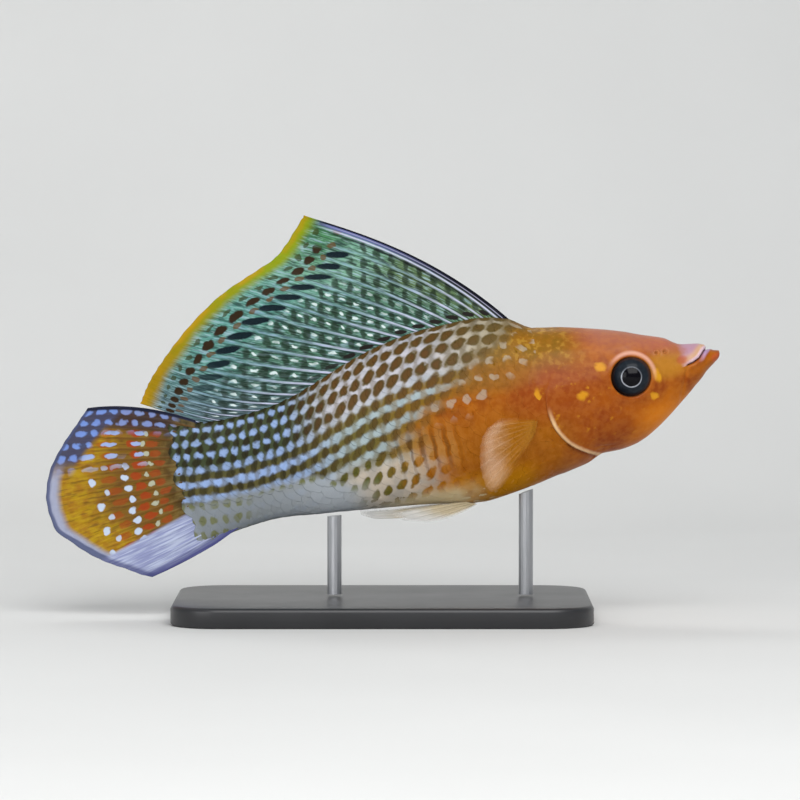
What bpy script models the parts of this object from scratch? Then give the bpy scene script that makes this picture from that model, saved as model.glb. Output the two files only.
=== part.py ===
"""Sailfin molly, male, a life-size museum model on a display stand.

The fish is drawn straight first. Sizes are millimetres in three directions:
  s  back from the tip of the lower jaw
  h  up from the body's axis
  y  to the fish's left, so that its right flank has y below zero
The function place() then pitches it nose up and sets it on its stand.
"""

import math

import bmesh
import bpy
import numpy as np

# Pose and stand
MM = 0.001
PITCH = math.radians(13.5)
TIP_X = 42.067
TIP_Z = 33.25
GAP = 0.3

# Where the body is parted
HEAD_END = 20.2
TORSO_END = 49.6
STEM_END = 66.0
STEM_BULGE = 1.3
AROUND = 36

# Outline of the body, each line a place s and a size there
TOP = [
    (0.0, 0.08), (0.7, 0.30), (1.3, 0.46), (1.5, 0.60), (1.75, 1.15), (2.3, 1.50),
    (3.5, 1.76), (4.6, 2.00), (5.2, 2.32), (6.3, 3.15), (7.3, 3.60), (9.0, 4.25), (11.2, 5.20),
    (15.0, 6.50), (18.6, 7.55), (22.2, 8.40), (23.4, 9.25), (24.6, 10.15), (27.0, 11.0),
    (30.0, 11.40), (35.4, 11.45), (39.9, 10.95), (44.8, 9.85), (49.8, 8.20), (53.2, 7.15),
    (57.0, 6.50), (61.5, 6.35), (66.0, 6.90), (69.0, 7.40),
]
BOTTOM = [
    (0.0, -0.30), (0.2, -0.72), (0.9, -1.25), (2.1, -2.05), (3.0, -2.85), (3.9, -3.50), (5.0, -4.35),
    (6.0, -5.05), (7.4, -6.05), (9.6, -7.45), (11.6, -8.45), (13.1, -8.90), (15.0, -9.10),
    (17.0, -9.02), (18.0, -9.30), (19.1, -9.75), (21.9, -10.25), (24.6, -10.75),
    (27.3, -11.15), (30.0, -11.45), (32.4, -11.60), (34.4, -11.40), (39.6, -10.30),
    (47.5, -9.10), (52.8, -8.35), (59.2, -7.60), (63.5, -7.90), (66.0, -8.40), (69.0, -8.90),
]
HALF_WIDTH = [
    (0.0, 0.30), (0.2, 0.88), (0.5, 1.22), (1.2, 1.60), (2.2, 2.05), (4.0, 2.55), (6.0, 3.15),
    (8.0, 3.85), (10.0, 4.50), (12.0, 4.95), (15.0, 5.45), (18.0, 5.80), (22.0, 6.00),
    (27.0, 6.00), (32.0, 5.70), (38.0, 5.00), (44.0, 4.10), (50.0, 3.20), (56.0, 2.40),
    (62.0, 1.75), (66.0, 1.30), (69.0, 1.00),
]
WIDEST_AT = [
    (0.0, -0.30), (4.0, -0.60), (8.0, -0.70), (12.0, -0.80), (18.0, -1.20), (25.0, -1.00),
    (35.0, -0.20), (50.0, 0.10), (69.0, 0.00),
]
ROUND_TOP = [(0.0, 2.2), (6.0, 2.5), (12.0, 2.3), (20.0, 1.9), (30.0, 1.75), (50.0, 1.8), (69.0, 2.0)]
ROUND_BOTTOM = [(0.0, 2.0), (10.0, 2.0), (20.0, 2.1), (30.0, 2.2), (69.0, 2.0)]

# Head
EYE = (11.6, -0.35, 3.35)
EYE_RADIUS = 2.65
EYE_DEPTH = 2.0
RIM_RADIUS = 3.05
RIM_THICK = 0.34
NOSTRILS = [(6.7, 1.65, 0.36), (7.9, 1.75, 0.26)]
MOUTH_BOW = 0.16
JAW_OUTLINE = [
    (-2.0, 0.95), (1.0, 0.95), (1.42, 0.72), (1.62, 0.32), (1.92, -0.15), (2.6, -0.50),
    (3.5, -0.72), (4.3, -0.86), (4.75, -1.35), (5.2, -2.4), (5.7, -3.7), (6.3, -8.0),
    (-2.0, -8.0),
]
UPPER_LIP = [(4.7, -0.25, 2.20), (3.3, 0.02, 2.24), (2.44, 0.52, 1.58), (2.08, 0.86, 0.0)]
LOWER_LIP = [(4.6, -1.75, 2.25), (3.1, -1.15, 2.24), (1.45, -0.42, 1.52), (0.66, -0.16, 0.0)]
UPPER_LIP_THICK = 0.50
LOWER_LIP_THICK = 0.40

# Gill covers
GILL_OUTLINE = [
    (16.3, 3.15), (18.6, 3.3), (20.8, 2.35), (22.2, 0.75), (22.75, -1.8), (22.35, -4.5),
    (21.0, -6.8), (18.9, -8.5), (16.2, -9.9), (13.6, -10.4), (13.0, -8.6), (14.3, -5.2),
    (15.2, -1.8), (15.45, 1.4),
]
GILL_THICK = 0.9
GILL_PROUD = 0.1
ISTHMUS = 1.4

# Fins
MEMBRANE = 0.56
RAY_RISE = 0.17
RAY_WIDTH = 0.44

# Stand
BASE_LENGTH = 52.0
BASE_DEPTH = 36.0
BASE_HEIGHT = 2.5
BASE_CORNER = 6.0
BASE_BEVEL = 0.5
ROD_RADIUS = 0.9
ROD_STATIONS = [27.5, 51.5]

COLOURS = {
    "head": (0.46, 0.12, 0.02), "jaw": (0.50, 0.20, 0.08), "gill": (0.42, 0.10, 0.015),
    "eye": (0.012, 0.012, 0.018), "torso": (0.30, 0.19, 0.06), "stem": (0.28, 0.29, 0.24),
    "dorsal": (0.12, 0.28, 0.20), "caudal": (0.52, 0.20, 0.02), "clear": (0.55, 0.42, 0.22),
    "pale": (0.60, 0.64, 0.72), "base": (0.02, 0.02, 0.02), "rod": (0.60, 0.60, 0.62),
}


def smooth(table, s):
    """Values between the table's rows: cubic pieces whose slopes are the harmonic means
    of the slopes on both sides, so that the line never overshoots."""
    s = np.asarray(s, float)
    xs, ys = np.array(table, float).T
    step = np.diff(xs)
    rise = np.diff(ys) / step
    slope = np.zeros(len(xs))
    slope[0], slope[-1] = rise[0], rise[-1]
    same = rise[:-1] * rise[1:] > 0
    slope[1:-1][same] = 2 * rise[:-1][same] * rise[1:][same] / (rise[:-1] + rise[1:])[same]
    k = np.clip(np.searchsorted(xs, s) - 1, 0, len(step) - 1)
    t = (s - xs[k]) / step[k]
    a = ys[k] * (1 + 2 * t) * (1 - t) ** 2 + ys[k + 1] * t * t * (3 - 2 * t)
    b = step[k] * (slope[k] * t * (1 - t) ** 2 - slope[k + 1] * t * t * (1 - t))
    return a + b


def place(points):
    """Straight fish millimetres (s, h, y) to world metres: x = TIP_X - s cos p - h sin p
    and z = TIP_Z - s sin p + h cos p with p the pitch."""
    s, h, y = np.asarray(points, float).reshape(-1, 3).T
    x = TIP_X - s * math.cos(PITCH) - h * math.sin(PITCH)
    z = TIP_Z - s * math.sin(PITCH) + h * math.cos(PITCH)
    return np.stack([x, y, z], 1) * MM


def body_section(s, inset=0.0):
    """The sizes of the body's cross-section at s: top, bottom, half width, height of the
    widest place and the two roundness powers."""
    top = smooth(TOP, s) - inset
    bottom = smooth(BOTTOM, s) + inset
    wide = smooth(HALF_WIDTH, s) - inset
    return top, bottom, wide, smooth(WIDEST_AT, s), smooth(ROUND_TOP, s), smooth(ROUND_BOTTOM, s)


def side_of_body(s, h, inset=0.0):
    """Half width of the body at (s, h): w (1 - |k|^n)^(1/n), k the share of the way from
    the widest place to the top or bottom."""
    top, bottom, wide, mid, n_top, n_bottom = body_section(s, inset)
    up = h > mid
    n = np.where(up, n_top, n_bottom)
    k = np.clip(np.abs(np.where(up, (h - mid) / (top - mid), (h - mid) / (mid - bottom))), 0, 1)
    return wide * (1 - k**n) ** (1 / n)


def make_object(name, points, faces, world=False):
    """One object from points in straight millimetres, with every face turned outward."""
    where = np.asarray(points, float) * MM if world else place(points)
    mesh = bpy.data.meshes.new(name)
    mesh.from_pydata([tuple(p) for p in where], [], faces)
    thing = bpy.data.objects.new(name, mesh)
    bpy.context.scene.collection.objects.link(thing)
    face_outward(thing)
    return thing


def face_outward(thing):
    bm = bmesh.new()
    bm.from_mesh(thing.data)
    bmesh.ops.triangulate(bm, faces=bm.faces[:])
    bmesh.ops.recalc_face_normals(bm, faces=bm.faces[:])
    if bm.calc_volume(signed=True) < 0:
        bmesh.ops.reverse_faces(bm, faces=bm.faces[:])
    bm.to_mesh(thing.data)
    bm.free()


def tube_faces(rings, around, closed=False):
    """Faces between rings of points, with a fan on each end unless the tube is closed."""
    faces = []
    for i in range(rings if closed else rings - 1):
        low, high = i * around, (i + 1) % rings * around
        for j in range(around):
            k = (j + 1) % around
            faces.append((low + j, low + k, high + k, high + j))
    if not closed:
        first, last = rings * around, rings * around + 1
        for j in range(around):
            k = (j + 1) % around
            faces.append((first, k, j))
            faces.append((last, (rings - 1) * around + j, (rings - 1) * around + k))
    return faces


def loft(name, stations, inset=0.0, bulge=0.0):
    """The body between two stations. The angle t runs round from the top: y = w sin t and
    h = mid + H cos t, both raised to 2/n. With a bulge the last ring bows back as
    1 - (h / 9)^2 and its cap follows it."""
    s = np.asarray(stations, float)[:, None]
    t = np.arange(AROUND)[None, :] * 2 * np.pi / AROUND
    top, bottom, wide, mid, n_top, n_bottom = body_section(s, inset)
    up = np.cos(t) > -1e-9
    n = np.where(up, n_top, n_bottom)
    high = np.where(up, top - mid, mid - bottom)
    h = mid + high * np.sign(np.cos(t)) * np.abs(np.cos(t)) ** (2 / n)
    y = wide * np.sign(np.sin(t)) * np.abs(np.sin(t)) ** (2 / n)
    near_end = np.clip((s - s[-1] + 8) / 8, 0, 1) ** 2
    back = s + bulge * near_end * (1 - (h / 9) ** 2)
    points = np.stack([back, h, y], -1).reshape(-1, 3)
    rings = len(s)
    if not bulge:
        ends = [[s[0, 0], mid[0, 0], 0], [s[-1, 0], mid[-1, 0], 0]]
        return make_object(name, np.vstack([points, ends]), tube_faces(rings, AROUND))
    points = np.vstack([points, [[s[0, 0], mid[0, 0], 0]]])
    faces = [f for f in tube_faces(rings, AROUND) if rings * AROUND + 1 not in f]
    last = (rings - 1) * AROUND
    for j in range(1, AROUND // 2 - 1):
        faces.append((last + j, last + j + 1, last + AROUND - j - 1, last + AROUND - j))
    half = AROUND // 2
    faces.append((last, last + 1, last + AROUND - 1))
    faces.append((last + half, last + half + 1, last + half - 1))
    return make_object(name, points, faces)


def rounded(outline, share=3):
    """The outline with its corners rounded: a closed Catmull-Rom line through its points."""
    p = np.array(outline, float)
    a, c, d = np.roll(p, 1, 0), np.roll(p, -1, 0), np.roll(p, -2, 0)
    pieces = []
    for t in np.arange(share) / share:
        pieces.append(0.5 * (2 * p + (c - a) * t + (2 * a - 5 * p + 4 * c - d) * t**2
                             + (3 * p - a - 3 * c + d) * t**3))
    return np.stack(pieces, 1).reshape(-1, 2)


def prism(name, outline, y_low, y_high, grow=0.0, bow=0.0, slices=1):
    """A side-view outline carried across y. It grows outward by the given margin, and with
    a bow its places move back as bow y^2, which gives a mouth its curve."""
    outline = np.array(outline, float)
    before, after = np.roll(outline, 1, 0), np.roll(outline, -1, 0)
    run_in, run_out = outline - before, after - outline
    run_in /= np.linalg.norm(run_in, axis=1)[:, None]
    run_out /= np.linalg.norm(run_out, axis=1)[:, None]
    turn = np.sign(np.sum(before[:, 0] * outline[:, 1] - outline[:, 0] * before[:, 1]))
    normal_in = np.stack([run_in[:, 1], -run_in[:, 0]], 1) * turn
    normal_out = np.stack([run_out[:, 1], -run_out[:, 0]], 1) * turn
    corner = normal_in + normal_out
    corner /= np.sum(corner * normal_in, 1)[:, None]
    outline = outline + grow * corner
    count = len(outline)
    points = []
    for y in np.linspace(y_low, y_high, slices + 1):
        points += [(a + bow * y * y, b, y) for a, b in outline]
    faces = []
    for i in range(slices):
        for j in range(count):
            k = (j + 1) % count
            faces.append((i * count + j, i * count + k, (i + 1) * count + k, (i + 1) * count + j))
    faces.append(tuple(range(count)))
    faces.append(tuple(range(slices * count, (slices + 1) * count)))
    return make_object(name, points, faces)


def ball(name, centre, radius, deep, around=24, rings=12):
    """An eyeball-like solid, flattened across the fish."""
    s, h, y = centre
    points = []
    for i in range(1, rings):
        a = math.pi * i / rings
        for j in range(around):
            b = 2 * math.pi * j / around
            ring = radius * math.sin(a)
            points.append((s + ring * math.cos(b), h + ring * math.sin(b), y + deep * math.cos(a)))
    points += [(s, h, y + deep), (s, h, y - deep)]
    return make_object(name, points, tube_faces(rings - 1, around))


def tube(name, path, thick, around=8, closed=False):
    """A round rod along a path of (s, h, y) points. Open ends narrow to half."""
    path = np.array(path, float)
    count = len(path)
    points = []
    for i, p in enumerate(path):
        ahead = path[(i + 1) % count] if closed or i < count - 1 else p
        behind = path[i - 1] if closed or i else p
        run = ahead - behind
        run /= np.linalg.norm(run)
        side = np.cross(run, (0.13, 0.31, 0.94))
        side /= np.linalg.norm(side)
        other = np.cross(run, side)
        size = thick * (1 if closed else 0.5 + 0.5 * math.sin(math.pi * i / (count - 1)) ** 0.6)
        for j in range(around):
            a = 2 * math.pi * j / around
            points.append(p + size * (math.cos(a) * side + math.sin(a) * other))
    if not closed:
        points += [path[0], path[-1]]
    return make_object(name, points, tube_faces(count, around, closed))


def combine(thing, tool, way):
    """One applied Boolean. The tool is used up."""
    tool.hide_render = True
    tool.display_type = "WIRE"
    step = thing.modifiers.new("combine", "BOOLEAN")
    step.operation = way
    step.solver = "MANIFOLD"
    step.object = tool
    scene_now = bpy.context.evaluated_depsgraph_get()
    mesh = bpy.data.meshes.new_from_object(thing.evaluated_get(scene_now))
    thing.modifiers.clear()
    old = thing.data
    thing.data = mesh
    bpy.data.meshes.remove(old)
    bpy.data.objects.remove(tool, do_unlink=True)
    return thing


def tidy(thing):
    """Welds double points, then keeps only the largest closed surface."""
    bm = bmesh.new()
    bm.from_mesh(thing.data)
    bmesh.ops.remove_doubles(bm, verts=bm.verts[:], dist=2e-6)
    bmesh.ops.dissolve_degenerate(bm, dist=2e-6, edges=bm.edges[:])
    bmesh.ops.triangulate(bm, faces=bm.faces[:])
    groups = []
    left = set(bm.verts)
    while left:
        group = {left.pop()}
        edge = list(group)
        while edge:
            point = edge.pop()
            near = {e.other_vert(point) for e in point.link_edges} - group
            group |= near
            edge += near
        left -= group
        groups.append(group)
    groups.sort(key=len)
    for group in groups[:-1]:
        bmesh.ops.delete(bm, geom=list(group), context="VERTS")
    bm.to_mesh(thing.data)
    bm.free()
    return thing


def sheet(name, surface, thickness, us, vs):
    """A closed fin from a middle surface. surface(u, v) gives (s, h, y), thickness(u, v)
    the full thickness across y. Both faces are split along the same diagonals, so they
    never cross."""
    u, v = np.meshgrid(us, vs, indexing="ij")
    s, h, y = surface(u, v)
    half = thickness(u, v) / 2
    rows, cols = u.shape
    left = np.stack([s, h, y + half], -1).reshape(-1, 3)
    right = np.stack([s, h, y - half], -1).reshape(-1, 3)
    other = rows * cols
    faces = []
    for i in range(rows - 1):
        for j in range(cols - 1):
            a, b = i * cols + j, i * cols + j + 1
            c, d = a + cols, b + cols
            faces += [(a, b, d), (a, d, c)]
            faces += [(other + a, other + d, other + b), (other + a, other + c, other + d)]
    edge = [j for j in range(cols)]
    edge += [i * cols + cols - 1 for i in range(1, rows)]
    edge += [(rows - 1) * cols + j for j in range(cols - 2, -1, -1)]
    edge += [i * cols for i in range(rows - 2, 0, -1)]
    for a, b in zip(edge, edge[1:] + edge[:1]):
        faces += [(a, other + a, other + b), (a, other + b, b)]
    return make_object(name, np.vstack([left, right]), faces)


def ray_columns(rays, first=0.0, last=1.0, wide=RAY_WIDTH):
    """Places across a fin: a foot, a crest and a foot for each ray."""
    step = (last - first) / (rays - 1)
    places = [0.0] if first > 0 else []
    for i in range(rays):
        middle = first + i * step
        places += [middle - wide * step / 2, middle, middle + wide * step / 2]
    if last < 1:
        places.append(1.0)
    return np.unique(np.clip(places, 0.0, 1.0))


def ray_crest(v, rays, first=0.0, last=1.0, wide=RAY_WIDTH):
    """1 on a ray, falling to 0 at its feet and staying 0 on the membrane."""
    count = (v - first) / (last - first) * (rays - 1)
    away = np.abs(count - np.clip(np.round(count), 0, rays - 1))
    return np.clip(1 - away / (wide / 2), 0, 1)


# Dorsal fin: rays rise from the back and end on the scalloped rear edge. DORSAL_TIPS tells
# for a ray's place v how far along that edge it ends
DORSAL_RAYS = 19
DORSAL_BASE = (24.5, 65.4)
DORSAL_LEAN = 1.15
DORSAL_EDGE = [
    (0.0, 46.5, 28.6), (0.05, 47.9, 27.2), (0.13, 49.7, 25.45), (0.20, 51.4, 24.2),
    (0.27, 53.8, 23.3), (0.42, 58.6, 21.5), (0.55, 63.0, 18.95), (0.70, 67.3, 15.6),
    (0.86, 70.35, 12.65), (1.0, 71.9, 10.5),
]
DORSAL_TIPS = [(0.0, 0.0), (0.056, 0.018), (0.139, 0.106), (0.361, 0.345), (0.583, 0.627),
               (0.75, 0.785), (1.0, 1.0)]
DORSAL_BOW = [(0.0, 1.85), (0.11, 1.4), (0.17, 1.05), (0.22, 0.75), (0.30, 0.2), (0.42, -0.3),
              (0.58, -0.35), (0.68, -0.85), (0.82, -1.0), (0.94, -0.4), (1.0, 0.0)]


def dorsal_surface(u, v):
    """P = B + u (T - B) + 4 bow u (1 - u) N. B is on the back, T on the rear edge and N
    square to the ray. A slow ripple across gives the sail its life."""
    edge = np.array(DORSAL_EDGE)
    start, end = DORSAL_BASE
    base_s = start + (end - start) * v**DORSAL_LEAN
    base_h = smooth(TOP, base_s) + GAP
    tip = smooth(DORSAL_TIPS, v)
    tip_s, tip_h = smooth(edge[:, [0, 1]], tip), smooth(edge[:, [0, 2]], tip)
    run_s, run_h = tip_s - base_s, tip_h - base_h
    length = np.hypot(run_s, run_h)
    bow = 4 * smooth(DORSAL_BOW, v) * u * (1 - u) ** 1.15
    scallop = 0.32 * ray_crest(v, DORSAL_RAYS, wide=2.0) * np.clip(u * 12 - 11, 0, 1)
    far = u + (scallop - 0.32) * np.clip(u * 12 - 11, 0, 1) / length
    s = base_s + run_s * far - bow * run_h / length
    h = base_h + run_h * far + bow * run_s / length
    y = 0.75 * u**1.5 * np.sin(2.1 * np.pi * v + 0.6) * np.clip(1.15 - v, 0, 1)
    return s, h, y


def dorsal_thickness(u, v):
    crest = ray_crest(v, DORSAL_RAYS)
    return (MEMBRANE + 2 * RAY_RISE * crest * (1 - 0.4 * u)) * (1 - 0.35 * np.clip(u * 6 - 5, 0, 1))


# Caudal fin: rays fan out from the tail stem to a rounded edge, drawn by angle and reach
CAUDAL_RAYS = 18
CAUDAL_CENTRE = (66.0, 0.0)
CAUDAL_REACH = [
    (-49.0, 14.5), (-44.0, 14.9), (-37.0, 15.4), (-30.0, 16.3), (-22.0, 17.5), (-12.0, 19.1),
    (-7.0, 20.1), (2.5, 20.3), (12.6, 19.75), (25.0, 18.3), (35.0, 17.3), (42.8, 16.9),
]
CAUDAL_ROOT = (6.85, -8.3)
CAUDAL_BOW = [(0.0, 3.4), (0.25, 1.0), (0.5, 0.0), (1.0, -0.9)]


def caudal_surface(u, v):
    """Rays from the stem's end, bowed slightly outward, to the rounded edge."""
    high, low = CAUDAL_ROOT
    base_h = high + (low - high) * v
    base_s = STEM_END + GAP + STEM_BULGE * (1 - (base_h / 9) ** 2)
    first, last = CAUDAL_REACH[-1][0], CAUDAL_REACH[0][0]
    angle = first + (last - first) * v
    reach = smooth(CAUDAL_REACH, angle) - 0.25 + 0.25 * ray_crest(v, CAUDAL_RAYS, wide=2.0)
    tip_s = CAUDAL_CENTRE[0] + reach * np.cos(np.radians(angle))
    tip_h = CAUDAL_CENTRE[1] + reach * np.sin(np.radians(angle))
    run_s, run_h = tip_s - base_s, tip_h - base_h
    bow = smooth(CAUDAL_BOW, v) * u * (1 - u)
    s = base_s + run_s * u
    h = base_h + run_h * u + bow
    y = 0.8 * u**2 * np.sin(1.6 * np.pi * v + 0.4)
    return s, h, y


def caudal_thickness(u, v):
    """Thick at the root like the stem, thin at the edge."""
    high, low = CAUDAL_ROOT
    root = 2 * side_of_body(np.full_like(v, STEM_END), 0.96 * (high + (low - high) * v))
    crest = ray_crest(v, CAUDAL_RAYS)
    plain = (MEMBRANE + 2 * RAY_RISE * crest) * (1 - 0.35 * np.clip(u * 6 - 5, 0, 1))
    fade = np.clip(1 - u * 3.2, 0, 1) ** 1.5
    return plain + np.clip(root * 0.9 - plain, 0, None) * fade


# Pectoral fins: a short root on the flank, then a fan that hangs back and down
PECTORAL_RAYS = 11
PECTORAL_ROOT = [(24.1, -2.75), (25.0, -4.75)]
PECTORAL_EDGE = [
    (0.0, 28.75, -1.45), (0.12, 30.4, -2.2), (0.25, 31.5, -3.4), (0.4, 32.2, -5.3),
    (0.55, 32.5, -7.4), (0.7, 32.35, -9.2), (0.85, 31.6, -10.1), (1.0, 30.4, -9.75),
]
PECTORAL_FLARE = 0.36


def pectoral_surface(side):
    def surface(u, v):
        """A flat fan that leans away from the flank, side -1 for the right fin."""
        edge = np.array(PECTORAL_EDGE)
        (s0, h0), (s1, h1) = PECTORAL_ROOT
        base_s, base_h = s0 + (s1 - s0) * v, h0 + (h1 - h0) * v
        tip_s, tip_h = smooth(edge[:, [0, 1]], v), smooth(edge[:, [0, 2]], v)
        s = base_s + (tip_s - base_s) * u - 0.5 * v * u * (1 - u)
        h = base_h + (tip_h - base_h) * u + 0.9 * (1 - v) * u * (1 - u)
        out = side_of_body(base_s, base_h) + GAP + MEMBRANE / 2 + 0.16
        far = np.hypot(s - base_s, h - base_h)
        y = out + PECTORAL_FLARE * far - 0.012 * far**2
        return s, h, side * y
    return surface


def pectoral_thickness(u, v):
    crest = ray_crest(v, PECTORAL_RAYS, 0.03, 0.97)
    root = 0.5 * np.clip(1 - u * 5, 0, 1)
    return root + (MEMBRANE + 2 * RAY_RISE * crest * (1 - 0.5 * u)) * (1 - 0.3 * np.clip(u * 6 - 5, 0, 1))


# Pelvic fins: slim, folded back under the belly
PELVIC_RAYS = 5
PELVIC_ROOT = [(33.9, -11.95), (35.2, -11.75)]
PELVIC_LINES = [(0.0, 44.6, -10.65), (0.5, 43.4, -11.35), (1.0, 40.3, -12.40)]


def pelvic_surface(side):
    def surface(u, v):
        lines = np.array(PELVIC_LINES)
        (s0, h0), (s1, h1) = PELVIC_ROOT
        base_s, base_h = s1 + (s0 - s1) * v, h1 + (h0 - h1) * v
        tip_s, tip_h = smooth(lines[:, [0, 1]], v), smooth(lines[:, [0, 2]], v)
        s = base_s + (tip_s - base_s) * u
        h = base_h + (tip_h - base_h) * u - 1.2 * v * u * (1 - u) - 0.15 * u * (1 - u)
        y = 1.35 + 0.11 * (s - s0) + 0.35 * v * u
        return s, h, side * y
    return surface


def pelvic_thickness(u, v):
    crest = ray_crest(v, PELVIC_RAYS)
    return (MEMBRANE + 2 * RAY_RISE * crest * (1 - 0.4 * u)) * (1 - 0.3 * np.clip(u * 6 - 5, 0, 1))


# Gonopodium: the male's anal fin, a stiff bundle of rays folded back along the belly
GONO_SPAN = (38.2, 48.3)
GONO_HALF = [(0.0, 0.55), (0.25, 0.72), (0.8, 0.62), (1.0, 0.30)]
GONO_RAYS = 3


def gono_surface(u, v):
    """A blade whose top edge follows the belly a gap below it."""
    start, end = GONO_SPAN
    s = start + (end - start) * u
    h = smooth(BOTTOM, s) - GAP - 0.06 - 2 * v * smooth(GONO_HALF, u)
    return s, h, 0 * s


def gono_thickness(u, v):
    crest = ray_crest(v, GONO_RAYS, 0.1, 0.9)
    return 0.7 + 0.3 * crest * (1 - u) + 0.25 * (1 - u) - 0.1 * np.clip(u * 5 - 4, 0, 1)


def mouth_path(points):
    """A lip's path from one corner of the mouth round the front to the other."""
    points = np.array(points, float)
    left = points * (1, 1, -1)
    whole = np.vstack([points, left[-2::-1]])
    along = np.linspace(0, 1, len(whole))
    fine = np.linspace(0, 1, 13)
    return np.stack([smooth(np.stack([along, whole[:, k]], 1), fine) for k in range(3)], 1)


def build_head():
    rings = [0.0, 0.16, 0.45, 0.95, 1.35, 1.5, 1.75, 2.3, 3.2, 4.2, 5.0, 5.8, 6.8, 8.0, 9.3]
    rings += [10.6, 12.0, 13.4, 15.0, 16.2, 17.2, 18.6, HEAD_END]
    head = loft("head", rings)
    jaw = loft("lower_jaw", rings[:13])
    shrink = prism("jaw_shape", JAW_OUTLINE, -7, 7, -GAP / 2, MOUTH_BOW, 14)
    grown = prism("jaw_room", JAW_OUTLINE, -7, 7, GAP / 2, MOUTH_BOW, 14)
    # The lips go on before the two shapes are parted, so the gap stays true
    combine(head, tube("upper", mouth_path(UPPER_LIP), UPPER_LIP_THICK, 8), "UNION")
    combine(jaw, tube("lower", mouth_path(LOWER_LIP), LOWER_LIP_THICK, 8), "UNION")
    combine(head, grown, "DIFFERENCE")
    combine(jaw, shrink, "INTERSECT")
    for side in (-1, 1):
        a = np.linspace(0, 2 * np.pi, 29)[:-1]
        s = EYE[0] + RIM_RADIUS * np.cos(a)
        h = EYE[1] + RIM_RADIUS * np.sin(a)
        y = side * (side_of_body(s, h) - 0.06)
        combine(head, tube("rim", np.stack([s, h, y], 1), RIM_THICK, 6, True), "UNION")
        socket = ball("socket", (EYE[0], EYE[1], side * EYE[2]), EYE_RADIUS + GAP, EYE_DEPTH + GAP)
        combine(head, socket, "DIFFERENCE")
        for s0, h0, size in NOSTRILS:
            out = side * float(side_of_body(s0, h0))
            combine(head, ball("pit", (s0, h0, out), size, 0.45, 10, 6), "DIFFERENCE")
    return head, jaw


def build_gills(head, torso):
    outline = rounded(GILL_OUTLINE, 2)
    for side, name in ((-1, "gill_cover_right"), (1, "gill_cover_left")):
        rings = np.linspace(10.0, 26.0, 14)
        low, high = sorted((side * ISTHMUS, side * 14))
        cover = loft(name, rings, -GILL_PROUD)
        combine(cover, prism("shape", outline, low, high), "INTERSECT")
        combine(cover, loft("inside", rings, GILL_THICK), "DIFFERENCE")
        tidy(cover)
        low, high = sorted((side * (ISTHMUS - GAP), side * 15))
        for part in (head, torso):
            room = prism("room", outline, low, high, GAP)
            combine(room, loft("core", rings, GILL_THICK + GAP), "DIFFERENCE")
            combine(part, room, "DIFFERENCE")


def build_stand():
    """A flat base with rounded corners and bevelled top edge, and two rods whose tops
    follow the belly a gap below it."""
    points, faces = [], []
    around = 32
    for inset, z in ((0, 0), (0, BASE_HEIGHT - BASE_BEVEL), (BASE_BEVEL, BASE_HEIGHT)):
        for j in range(around):
            a = 2 * math.pi * (j + 0.5) / around
            cx = math.copysign(BASE_LENGTH / 2 - BASE_CORNER, math.cos(a))
            cy = math.copysign(BASE_DEPTH / 2 - BASE_CORNER, math.sin(a))
            r = BASE_CORNER - inset
            points.append((cx + r * math.cos(a), cy + r * math.sin(a), z))
    for i in range(2):
        for j in range(around):
            k = (j + 1) % around
            faces.append((i * around + j, i * around + k, (i + 1) * around + k, (i + 1) * around + j))
    faces.append(tuple(range(around)))
    faces.append(tuple(range(2 * around, 3 * around)))
    make_object("stand_base", points, faces, world=True)

    for number, s in enumerate(ROD_STATIONS):
        foot = place([(s, float(smooth(BOTTOM, s)), 0)])[0] / MM
        rise = float(smooth(BOTTOM, s - 0.5) - smooth(BOTTOM, s + 0.5))
        slope = math.tan(PITCH + math.atan(rise))
        points = []
        for top in (False, True):
            for j in range(16):
                a = 2 * math.pi * j / 16
                dx, dy = ROD_RADIUS * math.cos(a), ROD_RADIUS * math.sin(a)
                z = foot[2] - GAP + slope * dx if top else BASE_HEIGHT + GAP
                points.append((foot[0] + dx, dy, z))
        points += [(foot[0], 0, BASE_HEIGHT + GAP), (foot[0], 0, foot[2] - GAP)]
        make_object(("stand_rod_front", "stand_rod_rear")[number], points, tube_faces(2, 16), world=True)


def paint(thing, colour, rough, metal=0.0):
    material = bpy.data.materials.new(thing.name + "_surface")
    material.use_nodes = True
    shader = material.node_tree.nodes["Principled BSDF"]
    shader.inputs["Base Color"].default_value = (*COLOURS[colour], 1)
    shader.inputs["Roughness"].default_value = rough
    shader.inputs["Metallic"].default_value = metal
    thing.data.materials.clear()
    thing.data.materials.append(material)


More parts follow.
